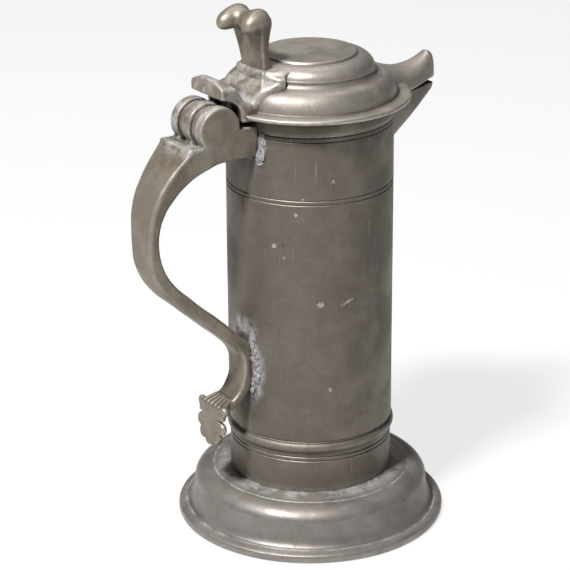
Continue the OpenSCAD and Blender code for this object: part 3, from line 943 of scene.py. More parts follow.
@dataclass(frozen=True)
class Finish:
    """How one kind of pewter looks: colours, gloss, clouds, lathe marks and wear."""

    name: str
    clean: Colour
    dull: Colour
    warm: Colour
    bright: Colour = (0.62, 0.58, 0.53)
    # dark: colour of the dirt in hollows, and of the painted ambient-occlusion shade from nearby metal
    dark: Colour = (0.045, 0.038, 0.03)
    pale: Colour = (0.52, 0.52, 0.54)
    frost: float = 1.0
    metal: Point = (0.7, 0.52)
    gloss_rough: float = 0.36
    dull_rough: float = 0.5
    clouds: float = 42.0
    speckle: float = 0.6
    lines: float = 0.0
    line_depth: float = 0.05
    grain_depth: float = 0.1
    wear: float = 0.6
    # strength of the darkening for both the dirt in hollows and the painted shade from nearby metal
    grime_and_shade: float = 0.7
    ring_lines: float = 0.0
    nicks: tuple[Nick, ...] = ()

    def material(self, effects: PewterEffects) -> bpy.types.Material:
        """Builds the finish.

        Args:
            effects: The shared node groups.

        Returns:
            The material.
        """
        material = bpy.data.materials.new(self.name)
        material.use_nodes = True
        sheet = NodeSheet(material.node_tree)
        shader = material.node_tree.nodes["Principled BSDF"]
        patina = sheet.wire("ShaderNodeGroup", {
            "Clean": self.clean, "Dull": self.dull, "Warm": self.warm, "Scale": self.clouds,
            "Speckle": self.speckle}, node_tree=effects.patina)
        wear = sheet.wire("ShaderNodeGroup", {
            "Color": patina.outputs["Color"], "Bright": self.bright, "Dark": self.dark, "Wear": self.wear,
            "GrimeAndShade": self.grime_and_shade}, node_tree=effects.wear)
        frost = sheet.wire("ShaderNodeGroup", {
            "Color": wear.outputs["Color"], "Pale": self.pale, "Amount": self.frost}, node_tree=effects.frost)
        colour = frost.outputs["Color"]
        rough = sheet.ramp(patina.outputs["Dullness"], 0.0, 1.0, self.gloss_rough, self.dull_rough)
        rough = sheet.sum("SUBTRACT", rough, sheet.sum("MULTIPLY", wear.outputs["Rubbed"], 0.1))
        bare = sheet.ramp(patina.outputs["Dullness"], 0.0, 1.0, *self.metal)
        bare = sheet.sum("ADD", bare, sheet.sum("MULTIPLY", wear.outputs["Rubbed"], 0.25), True)
        sheet.feed(shader.inputs["Metallic"], sheet.sum("SUBTRACT", bare, frost.outputs["Mask"], True))
        rough = sheet.sum("ADD", rough, sheet.sum("MULTIPLY", frost.outputs["Mask"], 0.1))
        height = sheet.sum("MULTIPLY", patina.outputs["Height"], self.grain_depth)
        if self.lines:
            marks = sheet.wire("ShaderNodeGroup", {"Lines": self.lines}, node_tree=effects.tooling)
            height = sheet.sum("ADD", height, sheet.sum("MULTIPLY", marks.outputs["Height"], self.line_depth))
            rough = sheet.sum("ADD", rough, sheet.sum("MULTIPLY", marks.outputs["Streak"], 0.05))
        if self.ring_lines:
            height = sheet.sum("ADD", height, self._rings(sheet))
        for nick in self.nicks:
            mark = sheet.wire("ShaderNodeGroup", {
                "Centre": tuple(v * MM for v in nick.at), "Size": tuple(v * MM for v in nick.size),
                "Turn": tuple(math.radians(v) for v in nick.turn)}, node_tree=effects.nick)
            colour = sheet.blend(sheet.sum("MULTIPLY", mark.outputs["Mask"], 0.8), colour, self.bright)
            height = sheet.sum("SUBTRACT", height, sheet.sum("MULTIPLY", mark.outputs["Mask"], 0.4))
        bump = sheet.wire("ShaderNodeBump", {"Strength": 0.5, "Distance": MM, "Height": height})
        for key, value in (("Base Color", colour), ("Roughness", rough), ("Normal", bump.outputs["Normal"])):
            sheet.feed(shader.inputs[key], value)
        return material

    def _rings(self, sheet: NodeSheet) -> bpy.types.NodeSocket:
        """Draws fine rings round the hinge barrel where the mesh asks for them.

        Args:
            sheet: The material's nodes.

        Returns:
            Their height.
        """
        parts = sheet.wire("ShaderNodeSeparateXYZ", {0: sheet.place()})
        wave = sheet.sum("SINE", sheet.sum("MULTIPLY", parts.outputs[1], self.ring_lines))
        return sheet.sum("MULTIPLY", sheet.sum("MULTIPLY", wave, sheet.mask(Attribute.RINGS)), 0.14)


class MeshTree:
    """A geometry-node tree with named inputs, which makes a plain mesh."""

    def __init__(self, name: str, inputs: dict[str, str], output: str) -> None:
        """Starts the tree.

        Args:
            name: The tree's name.
            inputs: Socket types by name.
            output: Name of the result.
        """
        self.tree = bpy.data.node_groups.new(name, "GeometryNodeTree")
        self.sockets: dict[str, str] = {}
        for socket, kind in inputs.items():
            made = self.tree.interface.new_socket(name=socket, in_out="INPUT", socket_type=kind)
            self.sockets[socket] = made.identifier
        self.tree.interface.new_socket(name=output, in_out="OUTPUT", socket_type="NodeSocketGeometry")
        self.sheet = NodeSheet(self.tree)
        self.given, self.result = self.sheet.add("NodeGroupInput"), self.sheet.add("NodeGroupOutput")

    def dress(self, geometry: bpy.types.NodeSocket) -> None:
        """Ends the tree: makes all of it real and gives it its finish.

        Args:
            geometry: What the tree has made.
        """
        sheet = self.sheet
        real = sheet.wire("GeometryNodeRealizeInstances", {"Geometry": geometry})
        dressed = sheet.wire("GeometryNodeSetMaterial", {"Geometry": real.outputs["Geometry"],
                                                         "Material": self.given.outputs["Finish"]})
        sheet.feed(self.result.inputs[0], dressed.outputs["Geometry"])

    def make(self, name: str, start: bpy.types.Mesh, values: dict[str, object]) -> bpy.types.Mesh:
        """Runs the tree on a line drawn as a mesh.

        Args:
            name: The new mesh's name.
            start: The line that the tree starts from.
            values: The tree's inputs by name.

        Returns:
            The mesh that it gives, in metres.
        """
        item = linked(start.name, start)
        step = item.modifiers.new("shape", "NODES")
        step.node_group = self.tree
        for key, value in values.items():
            step[self.sockets[key]] = value
        mesh = evaluated(item)
        item.modifiers.remove(step)
        bpy.data.objects.remove(item)
        close_up(mesh)
        mesh.name = name
        return mesh


class TurnedShell(MeshTree):
    """A node tree that turns a profile about the flagon's axis, a little out of true."""

    def __init__(self) -> None:
        """Builds the tree."""
        super().__init__("turned_shell", {
            "Profile": "NodeSocketGeometry", "Turn Radius": "NodeSocketFloat", "Segments": "NodeSocketInt",
            "Unevenness": "NodeSocketFloat", "Waves": "NodeSocketFloat", "Seed": "NodeSocketFloat",
            "Finish": "NodeSocketMaterial"}, "Shell")
        sheet, given = self.sheet, self.given
        circle = sheet.wire("GeometryNodeCurvePrimitiveCircle", {"Resolution": given.outputs["Segments"],
                                                                 "Radius": given.outputs["Turn Radius"]})
        profile = sheet.wire("GeometryNodeMeshToCurve", {"Mesh": given.outputs["Profile"]})
        swept = sheet.wire("GeometryNodeCurveToMesh", {"Curve": circle.outputs["Curve"],
                                                       "Profile Curve": profile.outputs["Curve"]})
        merged = sheet.wire("GeometryNodeMergeByDistance", {"Distance": 1e-6, "Geometry": swept.outputs["Mesh"]})
        wave = sheet.wire("ShaderNodeTexNoise", {"W": given.outputs["Seed"], "Scale": given.outputs["Waves"],
                                                 "Detail": 2.0}, noise_dimensions="4D")
        depth = sheet.sum("MULTIPLY", sheet.sum("SUBTRACT", wave.outputs[0], 0.5), given.outputs["Unevenness"])
        facing = sheet.add("GeometryNodeInputNormal").outputs[0]
        push = sheet.wire("ShaderNodeVectorMath", {0: facing, "Scale": depth}, operation="SCALE")
        moved = sheet.wire("GeometryNodeSetPosition", {"Geometry": merged.outputs["Geometry"],
                                                       "Offset": push.outputs[0]})
        self.dress(moved.outputs["Geometry"])

    def turn(self, name: str, outline: Sequence[Point], material: bpy.types.Material, segments: int = 192,
             uneven: float = 0.0, waves: float = 22.0, seed: float = 1.0) -> bpy.types.Mesh:
        """Turns a closed outline.

        Args:
            name: The mesh's name.
            outline: Radii and heights, in millimetres.
            material: Its finish.
            segments: How many steps round.
            uneven: How far it is out of true, in millimetres.
            waves: Waves of unevenness a metre.
            seed: Which pattern.

        Returns:
            The turned mesh, in metres.
        """
        radius = max(r for r, _ in outline)
        line = bpy.data.meshes.new(name + "_profile")
        count = len(outline)
        line.from_pydata([((r - radius) * MM, -z * MM, 0.0) for r, z in outline],
                         [(i, (i + 1) % count) for i in range(count)], [])
        return self.make(name, line, {"Turn Radius": radius * MM, "Segments": segments, "Unevenness": uneven * MM,
                                      "Waves": waves, "Seed": seed, "Finish": material})


class SolderBead(MeshTree):
    """A node tree that drops flattened lumps of solder along a seam and melts them together."""

    def __init__(self) -> None:
        """Builds the tree."""
        super().__init__("solder_bead", {
            "Seam": "NodeSocketGeometry", "Spacing": "NodeSocketFloat", "Smallest": "NodeSocketFloat",
            "Largest": "NodeSocketFloat", "Flatness": "NodeSocketFloat", "Scatter": "NodeSocketFloat",
            "Voxel": "NodeSocketFloat", "Seed": "NodeSocketInt", "Finish": "NodeSocketMaterial"}, "Bead")
        sheet, given = self.sheet, self.given
        seam = sheet.wire("GeometryNodeMeshToCurve", {"Mesh": given.outputs["Seam"]})
        drops = sheet.wire("GeometryNodeCurveToPoints", {"Curve": seam.outputs["Curve"],
                                                         "Length": given.outputs["Spacing"]}, mode="LENGTH")
        moved = sheet.wire("GeometryNodeSetPosition", {"Geometry": drops.outputs["Points"],
                                                       "Offset": self._scatter(sheet, given)})
        lump = sheet.wire("GeometryNodeMeshIcoSphere", {"Radius": 1.0, "Subdivisions": 3})
        placed = sheet.wire("GeometryNodeInstanceOnPoints", {
            "Points": moved.outputs["Geometry"], "Instance": lump.outputs["Mesh"], "Rotation": self._facing(sheet),
            "Scale": self._size(sheet, given)})
        real = sheet.wire("GeometryNodeRealizeInstances", {"Geometry": placed.outputs["Instances"]})
        molten = sheet.wire("GeometryNodeMeshToVolume", {
            "Mesh": real.outputs["Geometry"], "Voxel Size": given.outputs["Voxel"],
            "Interior Band Width": 0.002}, resolution_mode="VOXEL_SIZE")
        skin = sheet.wire("GeometryNodeVolumeToMesh", {"Volume": molten.outputs["Volume"],
                                                       "Voxel Size": given.outputs["Voxel"]},
                          resolution_mode="VOXEL_SIZE")
        self.dress(skin.outputs["Mesh"])

    @staticmethod
    def _scatter(sheet: NodeSheet, given: bpy.types.Node) -> bpy.types.NodeSocket:
        """Moves the drops off the seam a little.

        Args:
            sheet: The tree's nodes.
            given: The tree's inputs.

        Returns:
            The offsets.
        """
        random = sheet.wire("FunctionNodeRandomValue", {0: (-1.0, -1.0, -1.0), 1: (1.0, 1.0, 1.0),
                                                        "Seed": given.outputs["Seed"]}, data_type="FLOAT_VECTOR")
        feeds = {0: random.outputs[0], "Scale": given.outputs["Scatter"]}
        return sheet.wire("ShaderNodeVectorMath", feeds, operation="SCALE").outputs[0]

    @staticmethod
    def _facing(sheet: NodeSheet) -> bpy.types.NodeSocket:
        """Turns each drop's flat side to the drum.

        Args:
            sheet: The tree's nodes.

        Returns:
            The rotations.
        """
        at = sheet.add("GeometryNodeInputPosition").outputs[0]
        level = sheet.wire("ShaderNodeVectorMath", {0: at, 1: (1.0, 1.0, 0.0)}, operation="MULTIPLY")
        return sheet.wire("FunctionNodeAlignRotationToVector", {"Vector": level.outputs[0]}, axis="Z").outputs[0]

    @staticmethod
    def _size(sheet: NodeSheet, given: bpy.types.Node) -> bpy.types.NodeSocket:
        """Gives each drop its own size.

        Args:
            sheet: The tree's nodes.
            given: The tree's inputs.

        Returns:
            The scales.
        """
        random = sheet.wire("FunctionNodeRandomValue", {
            2: given.outputs["Smallest"], 3: given.outputs["Largest"],
            "Seed": sheet.sum("ADD", given.outputs["Seed"], 7.0)}, data_type="FLOAT")
        wide = random.outputs[1]
        thick = sheet.sum("MULTIPLY", wide, given.outputs["Flatness"])
        return sheet.wire("ShaderNodeCombineXYZ", {0: wide, 1: wide, 2: thick}).outputs[0]

    def melt(self, name: str, seams: Sequence[Sequence[Triple]], material: bpy.types.Material, spacing: float,
             sizes: Point, flatness: float, scatter: float, seed: int, voxel: float = 0.28) -> bpy.types.Mesh:
        """Lays solder along some seams.

        Args:
            name: The mesh's name.
            seams: The seams' points, in millimetres.
            material: Its finish.
            spacing: Distance between drops, in millimetres.
            sizes: Smallest and largest radius of a drop, in millimetres.
            flatness: A drop's thickness as a share of its radius.
            scatter: How far drops stray, in millimetres.
            seed: Which pattern.
            voxel: Fineness of the melted skin, in millimetres.

        Returns:
            The bead, in metres.
        """
        points: list[Triple] = []
        edges: list[tuple[int, int]] = []
        for seam in seams:
            edges += [(len(points) + i, len(points) + i + 1) for i in range(len(seam) - 1)]
            points += [tuple(v * MM for v in p) for p in seam]
        line = bpy.data.meshes.new(name + "_seam")
        line.from_pydata(points, edges, [])
        return self.make(name, line, {"Spacing": spacing * MM, "Smallest": sizes[0] * MM, "Largest": sizes[1] * MM,
                                      "Flatness": flatness, "Scatter": scatter * MM, "Voxel": voxel * MM,
                                      "Seed": seed, "Finish": material})


# The flagon's pieces


@dataclass
class Workshop:
    """What every piece is made with: the node trees and the finishes."""

    turned: TurnedShell
    bead: SolderBead
    finishes: dict[Slot, bpy.types.Material]


@dataclass
class Drum:
    """The turned drum and the plate that closes it, in millimetres.

    rim_lines gives the incised lines' distances below the rim, low_lines those below the roll, and wiped the place
    across, the height and the reach of each smear of solder.
    """

    radius: float = 45.0
    wall: float = 2.2
    foot_z: float = 28.4
    rim_z: float = 239.6
    band_h: float = 8.0
    band_t: float = 0.6
    roll_z: float = 54.3
    roll_h: float = 6.4
    roll_t: float = 1.2
    line_w: float = 1.0
    line_depth: float = 0.42
    collar_in: float = 0.44
    low_lines: Point = (4.5, 2.1)
    roll_line: float = 0.7
    rim_lines: tuple[float, ...] = (45.9, 43.5, 11.6, 9.2)
    plate_r: float = 42.7
    plate_t: float = 2.4
    window: tuple[Point, Point, Point] = ((-10.2, 234.4), (0.0, 210.4), (10.2, 234.4))
    window_x: Point = (20.0, 60.0)
    wiped: tuple[Triple, ...] = ((-3.0, 119.0, 4.0), (-7.5, 115.0, 5.5), (-9.5, 106.5, 5.0), (-12.0, 101.0, 4.6),
                                 (-12.6, 94.0, 4.4), (-11.6, 86.0, 4.0), (-9.6, 79.5, 2.6), (-11.6, 231.0, 3.4),
                                 (-14.6, 225.0, 4.4), (-12.6, 218.0, 4.6), (-9.0, 212.0, 3.4))

    def outline(self) -> list[Point]:
        """Draws the drum's closed outline, up the outside and down the bore.

        Returns:
            Radii and heights, in millimetres.
        """
        r, bore, collar = self.radius, self.radius - self.wall, self.radius - self.collar_in
        half = self.roll_h / 2
        roll = arc((r + self.roll_t - half, self.roll_z), half, half, -60, 60, 20)
        side = [(bore, self.foot_z), (collar, self.foot_z)]
        for drop in self.low_lines:
            side += groove(collar, self.roll_z - half - drop, self.line_w, self.line_depth)
        side += [p for p in roll if p[0] >= collar]
        for z in [self.roll_z + half + self.roll_line] + [self.rim_z - drop for drop in self.rim_lines]:
            side += groove(r, z, self.line_w, self.line_depth)
        band = arc((r, self.rim_z - self.band_h / 2), 1.4 * self.band_t, self.band_h / 2 - 0.2, -84, 76, 20)
        rim = band + [(r - 0.3, self.rim_z), (bore + 0.5, self.rim_z), (bore, self.rim_z - 0.5)]
        return filled(eased(side + rim, 0.5, 25.0), 4.2)

    def smears(self, at: np.ndarray) -> np.ndarray:
        """Marks where thin solder was wiped over the drum, beside the handle's joints.

        Args:
            at: The drum's points, in millimetres.

        Returns:
            One value a point.
        """
        mask = np.zeros(len(at))
        for y, z, reach in self.wiped:
            for side in (1.0, -1.0):
                away = np.hypot(at[:, 1] - side * y, (at[:, 2] - z) * 0.7)
                mask = np.maximum(mask, np.where(at[:, 0] < 0, np.clip(1.6 - 1.2 * away / reach, 0, 1), 0))
        return mask

    def build(self, shop: Workshop) -> None:
        """Makes the drum with its pouring window, and the base plate.

        Args:
            shop: The trees and finishes.
        """
        metal = shop.finishes[Slot.DRUM]
        shell = shop.turned.turn("drum", self.outline(), metal, 256, uneven=0.28, waves=26.0, seed=3.0)
        prism = bpy.data.meshes.new("pouring_window")
        ends = [(x, y, z) for x in self.window_x for y, z in self.window]
        prism.from_pydata([tuple(v * MM for v in p) for p in ends], [],
                          [(0, 1, 2), (5, 4, 3), (0, 3, 4, 1), (1, 4, 5, 2), (2, 5, 3, 0)])
        close_up(prism)
        shell = carve(shell, prism)
        store(shell, Attribute.FROST, self.smears(points_of(shell) / MM))
        settle("drum_shell", shell, "drum", Body.VESSEL, metal)
        low, high, r = self.foot_z, self.foot_z + self.plate_t, self.plate_r
        plate = [(0.0, low), (r, low), (r, high - 0.5), (r - 0.5, high), (0.0, high)]
        metal = shop.finishes[Slot.FOOT]
        disc = shop.turned.turn("base_plate", filled(eased(plate, 0.4, closed=False), 4.0), metal, 128)
        settle("base_disc", disc, "base_plate", Body.VESSEL, metal)


@dataclass
class Foot:
    """The hollow foot: flat shoulder, rounded step, cove and thin rim, in millimetres.

    chalk_r bounds the pale ring round the drum, and chalk_lines gives each pale line's radius and lowest height.
    """

    rim_r: float = 74.2
    height: float = 28.4
    shoulder_r: float = 54.4
    step_r: float = 64.89
    step_top: float = 26.7
    step_low: float = 18.18
    cove_r: float = 69.55
    cove_low: float = 5.72
    rim_h: float = 4.4
    wall: float = 2.6
    seat_r: float = 36.0
    chalk_r: float = 53.5
    chalk_lines: tuple[Point, Point] = ((54.3, 26.0), (69.6, 4.5))
    top_z: float = 26.0

    def outline(self) -> list[Point]:
        """Draws the foot's closed outline, down the outside and up the hollow.

        Returns:
            Radii and heights, in millimetres.
        """
        run, rise = self.step_r - self.shoulder_r, self.step_top - self.step_low
        drop = self.step_low - self.cove_low
        top = [(self.seat_r, self.height), (45.0, self.height), (46.2, 28.25), (53.2, 27.0)]
        mark = [(53.9, 26.82), (54.15, 26.5), (54.45, 26.5), (54.75, 26.68)]
        step = arc((self.shoulder_r, self.step_low), run, rise, 86, 0, 30)
        cove = arc((self.cove_r, self.step_low), self.cove_r - self.step_r, drop, 186, 262, 26)
        line = [(69.15, 5.78), (69.4, 5.32), (69.75, 5.3), (70.1, 5.62)]
        rim = [(self.rim_r - 1.3, self.rim_h + 0.35), (self.rim_r - 0.35, self.rim_h - 0.35), (self.rim_r, 3.2),
               (self.rim_r, 1.1), (self.rim_r - 0.5, 0.0), (self.cove_r - self.wall + 0.3, 0.0)]
        hollow = [(self.step_r - self.wall, self.rim_h)]
        hollow += arc((self.shoulder_r, self.step_low), run - self.wall, rise - self.wall, 0, 90, 16)
        hollow += [(self.seat_r, self.step_top - self.wall)]
        return filled(eased(top + mark + step + cove + line + rim + hollow, 0.5, 25.0), 2.4)

    def build(self, shop: Workshop) -> None:
        """Makes the foot.

        Args:
            shop: The trees and finishes.
        """
        metal = shop.finishes[Slot.FOOT]
        shell = shop.turned.turn("foot", self.outline(), metal, 256, uneven=0.3, waves=18.0, seed=5.0)
        at = points_of(shell) / MM
        r, z = np.hypot(at[:, 0], at[:, 1]), at[:, 2]
        chalk = 0.9 * np.clip((self.chalk_r - r) / 4, 0, 1) * (z > self.top_z)
        for line_r, low in self.chalk_lines:
            chalk = chalk + 1.3 * (np.exp(-(((r - line_r) / 0.5) ** 2)) * (z > low))
        store(shell, Attribute.FROST, chalk)
        settle("foot_shell", shell, "foot", Body.VESSEL, metal)


@dataclass
class Spout:
    """The open beak-shaped trough and the lid's cover over it."""

    root_x: float = 40.6
    tip_x: float = 80.8
    width: float = 34.0
    edge_z: float = 235.6
    depth: float = 36.0
    wall: float = 2.0
    drum_r: float = 44.9
    band_r: float = 45.5
    band_z: float = 231.6
    cover_low: float = 236.2
    cover_root: float = 36.35
    nose_x: float = 76.6
    cover_tip: float = 81.6
    lid_z: float = 239.9
    ridge_rise: float = 10.9
    fall_run: float = 24.0
    clear_r: float = 45.9
    clear_z: float = 241.0
    lid_sink: float = 0.35

    def half(self, x: np.ndarray) -> np.ndarray:
        """Gives half the trough's width at some places along it."""
        u = np.clip((x - self.root_x) / (self.tip_x - self.root_x), 0, 1)
        return self.width / 2 * (1 - 0.83 * u**1.4)

    def dip(self, x: np.ndarray) -> np.ndarray:
        """Gives the trough's depth at some places along it."""
        u = np.clip((x - self.root_x) / (self.tip_x - self.root_x), 0, 1)
        return self.depth * (1 - 0.88 * u + 0.03 * np.sin(math.pi * u))

    def build(self, shop: Workshop) -> None:
        """Makes the trough.

        Args:
            shop: The trees and finishes.
        """
        block = Field((42.0, -20.0, 197.0), (83.0, 20.0, 238.0), 0.42)
        x, y = block.x, block.y
        z = block.z - self.edge_z + 0.9 * rising(x, 56.0, self.fall_run)
        outer = oval_distance(y, z, self.half(x), self.dip(x))
        outer = shared(outer, x - self.tip_x, 1.2)
        room = [np.maximum(size - self.wall, 0.6) for size in (self.half(x), self.dip(x))]
        inner = oval_distance(y, z, *room)
        inner = np.maximum(inner, x - self.tip_x + self.wall * 0.6)
        trough = shared(cut(outer, inner, 0.5), z, 0.5)
        trough = np.maximum(trough, self.drum_r - np.hypot(block.x, block.y))
        band = np.maximum(np.hypot(block.x, block.y) - self.band_r, self.band_z - block.z)
        trough = np.maximum(trough, -band)
        metal = shop.finishes[Slot.DRUM]
        settle("spout_trough", block.mesh("spout", trough), "spout", Body.VESSEL, metal)

    def ridge(self) -> tuple[np.ndarray, np.ndarray, np.ndarray]:
        """Draws the cover's back.

        Returns:
            Places along it, their heights and half widths, in millimetres.
        """
        line = np.asarray(curve([(0, 1.15), (0.33, 0.98), (0.62, 0.06), (1, 1.0)], 60))
        x = self.cover_root + (self.nose_x - self.cover_root) * line[:, 0]
        top = self.lid_z + self.ridge_rise * line[:, 1]
        half = self.half(x) + 1.0
        a = np.radians(np.linspace(2, 89, 30))
        nose_x = self.nose_x + (self.cover_tip - self.nose_x) * np.sin(a)
        nose_top = top[-1] - 0.45 * (top[-1] - self.cover_low) * (1 - np.cos(a))
        return (np.concatenate([x, nose_x]), np.concatenate([top, nose_top]),
                np.concatenate([half, half[-1] * np.cos(a)]))

    def build_cover(self, shop: Workshop, lid_outline: Sequence[Point]) -> None:
        """Makes the lid's beak.

        Args:
            shop: The trees and finishes.
            lid_outline: The lid's outside, which the beak runs into.
        """
        block = Field((36.0, -20.5, 235.0), (83.5, 20.5, 257.0), 0.38)
        along, top, half = self.ridge()
        x = block.x[:, 0, 0]
        tops = np.interp(x, along, top)[:, None, None]
        halves = np.maximum(np.interp(x, along, half), 0.25)[:, None, None]
        rise = block.z - self.cover_low - 2.0 * rising(block.x, 57.0, self.fall_run)
        outer = oval_distance(block.y, np.maximum(rise, 0), halves, tops - self.cover_low, 2.5)
        outer = shared(outer, -rise, 0.7)
        outer = shared(outer, block.x - self.cover_tip, 0.8)
        inner = oval_distance(block.y, np.maximum(rise, 0), np.maximum(halves - self.wall, 0.3),
                              np.maximum(tops - self.cover_low - self.wall, 0.3), 2.5)
        inner = np.maximum(inner, block.x - self.nose_x)
        beak = cut(outer, inner, 0.4)
        beak = np.maximum(beak, -(block.revolved(lid_outline) + self.lid_sink))
        rim = self.clear_r - np.hypot(block.x, block.y)
        beak = np.maximum(beak, np.where(block.z < self.clear_z, rim, -9.0))
        metal = shop.finishes[Slot.LID]
        settle("spout_beak", block.mesh("spout_cover", beak), "spout_cover", Body.LID, metal)


@dataclass
class Handle:
    """The cast handle: arm, three knuckles, S-shaped strap, tail and scalloped shield, with its solder.

    under_z is the height of the ledge under the barrel, and the drop fields size the solder's lumps.
    """

    drum_r: float = 45.0
    reach: float = 62.0
    strap_t: float = 6.4
    arm_z: float = 218.0
    tail_z: float = 97.2
    arm_top_z: float = 235.28
    hinge: Point = (-65.9, 236.2)
    barrel_r: float = 12.2
    slot_r: float = 12.6
    slot_w: float = 5.3
    slot_y: float = 5.95
    ledge_z: float = 228.64
    shield_w: float = 27.0
    shield_h: float = 23.0
    shield_t: float = 3.0
    shield_tilt: float = 5.0
    band_z: float = 231.6
    under_z: float = 227.5
    drop_gap: float = 0.45
    drop_sizes: Point = (0.9, 2.1)
    drop_flat: float = 0.17

    def at(self, shares: Sequence[Point], reach: float) -> list[Point]:
        """Places shares of the reach and of the height.

        Args:
            shares: Shares of the reach from the drum and of the height above the tail.
            reach: The reach they are shares of.

        Returns:
            The points, in millimetres.
        """
        rise = self.arm_z - self.tail_z
        return [(-self.drum_r - s * reach, self.tail_z + t * rise) for s, t in shares]

    def outline(self) -> list[Point]:
        """Draws the handle's side outline.

        Returns:
            Its points, in millimetres.
        """
        out, inner, tail = self.reach, self.reach - self.strap_t, 3.5 / 62.0
        back = self.at([(0.648, 1.068), (0.885, 0.955), (1.005, 0.857), (1, 0.678)], out)
        belly = self.at([(1, 0.678), (1.008, 0.531), (0.934, 0.461), (0.652, 0.339)], out)
        turn = self.at([(0.213, 0.139), (0.115, 0.094), (tail, 0.057), (tail, 0)], out)
        flick = self.at([(tail, 0), (tail, -0.07), (0.107, -0.14), (0.28, -0.163)], out)
        under = self.at([(0.25, -0.195), (0.09, -0.175), (0.01, -0.13), (-0.03, -0.06)], out)
        hollow = self.at([(0.727, 0.423), (0.907, 0.498), (1, 0.588), (1, 0.702)], inner)
        bow = self.at([(1, 0.702), (1, 0.865), (0.641, 1), (0.238, 1)], inner)
        arm = [(-42.8, self.arm_z), (-42.8, self.arm_top_z), (self.hinge[0], self.arm_top_z),
               (self.hinge[0], self.ledge_z), (back[0][0] + 1.2, self.ledge_z)]
        return (curve(back) + curve(belly) + curve(turn, 20) + curve(flick, 24) + curve(under, 20)
                + self.at([(-0.03, 0.1), (0.275, 0.235)], inner) + curve(hollow) + curve(bow) + arm)

    def widths(self, z: np.ndarray) -> np.ndarray:
        """Gives half the handle's width.

        Args:
            z: Heights.

        Returns:
            Half the width at each.
        """
        levels = np.linspace(40, 260, 441)
        half = np.interp(levels, [90.0, 97.2, 184.2, 218.0, 228.0, 260.0], [8.25, 8.25, 10.2, 13.4, 15.2, 15.2])
        kernel = np.exp(-np.linspace(-2.2, 2.2, 25) ** 2)
        soft = np.convolve(np.pad(half, 12, mode="edge"), kernel / kernel.sum(), "valid")
        return np.interp(z, levels, soft)

    def shield_field(self, block: Field) -> np.ndarray:
        """Shapes the scalloped shield and the ribs at its neck.

        Args:
            block: The sample points.

        Returns:
            Its field.
        """
        top = self.at([(0.28, -0.163)], self.reach)[0]
        tilt = math.radians(self.shield_tilt)
        dx, dz = block.x - top[0], block.z - top[1]
        down = -math.sin(tilt) * dx - math.cos(tilt) * dz
        out = -math.cos(tilt) * dx + math.sin(tilt) * dz
        w, h = self.shield_w, self.shield_h
        flat = np.hypot(block.y, down - 0.42 * h) - 0.31 * w
        for share, drop, r in ((0.8, 0.06, 0.1), (0.72, 0.5, 0.13), (0.42, 0.76, 0.14), (0.0, 0.86, 0.13)):
            lobe = np.hypot(np.abs(block.y) - share * w / 2, down - drop * h) - r * w
            flat = joined(flat, lobe, 1.3)
        neck = np.maximum(np.abs(block.y) - 0.43 * w, np.abs(down - 0.15 * h) - 0.15 * h)
        flat = joined(flat, neck, 1.2)
        swell = 0.7 * np.clip(1 - (np.abs(block.y) / (0.5 * w)) ** 2, 0, 1)
        plate = drawn_out(flat, out - self.shield_t / 2 - swell / 2, self.shield_t / 2 + swell / 2, 1.1)
        return self.ribs(block, plate, top)

    def ribs(self, block: Field, plate: np.ndarray, top: Point) -> np.ndarray:
        """Adds the gathered ribs where the tail meets the shield.

        Args:
            block: The sample points.
            plate: The shield's field.
            top: The tail's end.

        Returns:
            The field with the ribs.
        """
        for i in range(6):
            y0 = (i - 2.5) * 3.4
            a = np.array([top[0] - 1.4, y0 - 0.9, top[1] - 0.5])
            b = np.array([top[0] + 5.0, y0 * 0.74 + 0.6, top[1] + 2.0])
            along = b - a
            away = [axis - start for axis, start in zip((block.x, block.y, block.z), a)]
            t = np.clip(sum(far * way for far, way in zip(away, along)) / (along @ along), 0, 1)
            gap = np.sqrt(sum((far - t * way) ** 2 for far, way in zip(away, along)))
            plate = joined(plate, gap - (1.8 - 0.5 * t), 0.6)
        return plate

    def build(self, shop: Workshop) -> None:
        """Makes the handle.

        Args:
            shop: The trees and finishes.
        """
        block = Field((-110.0, -16.8, 50.0), (-42.0, 16.8, 250.0), 0.56)
        x, y, z = block.x, block.y, block.z
        radial = np.hypot(x - self.hinge[0], z - self.hinge[1])
        side = joined(outline_distance(x, z, self.outline()), radial - self.barrel_r, 1.6)
        ease = np.interp(z, [96.0, 110.0, 205.0, 224.0], [1.2, 1.9, 2.3, 1.2])
        solid = drawn_out(side, y, self.widths(z), ease)
        for sign in (-1, 1):
            slot = np.maximum(radial - self.slot_r, np.abs(y - sign * self.slot_y) - self.slot_w / 2)
            solid = cut(solid, slot, 0.9)
        lower = joined(solid, self.shield_field(block), 1.0)
        solid = np.where(z < 100, lower, solid)
        wall = np.where(z < self.band_z, self.drum_r - 0.1, self.drum_r + 0.5) - np.hypot(x, y)
        mesh = block.mesh("handle", np.maximum(solid, wall), 4)
        close_up(mesh)
        at = points_of(mesh) / MM
        ledge = np.clip(1 - np.abs(at[:, 2] - self.under_z) / 5, 0, 1) * (at[:, 0] < -70)
        roughen(mesh, 6.0, 0.2 + 0.3 * ledge, 2)
        roughen(mesh, 22.0, 0.5, 6)
        ring = np.hypot(at[:, 0] - self.hinge[0], at[:, 2] - self.hinge[1])
        knuckles = (ring > 11.4) & (at[:, 2] > self.under_z) & (np.abs(at[:, 1]) < 14.8)
        store(mesh, Attribute.RINGS, knuckles.astype(float))
        store(mesh, Attribute.FROST, np.maximum(0.75 * knuckles, 0.8 * ledge))
        metal = shop.finishes[Slot.CAST]
        settle("handle_casting", mesh, "handle", Body.VESSEL, metal)

    def on_drum(self, y: float, z: float, lift: float = -0.1) -> Triple:
        """Places a point on the drum's handle side."""
        r = self.drum_r + lift
        return (-math.sqrt(r * r - y * y), y, z)

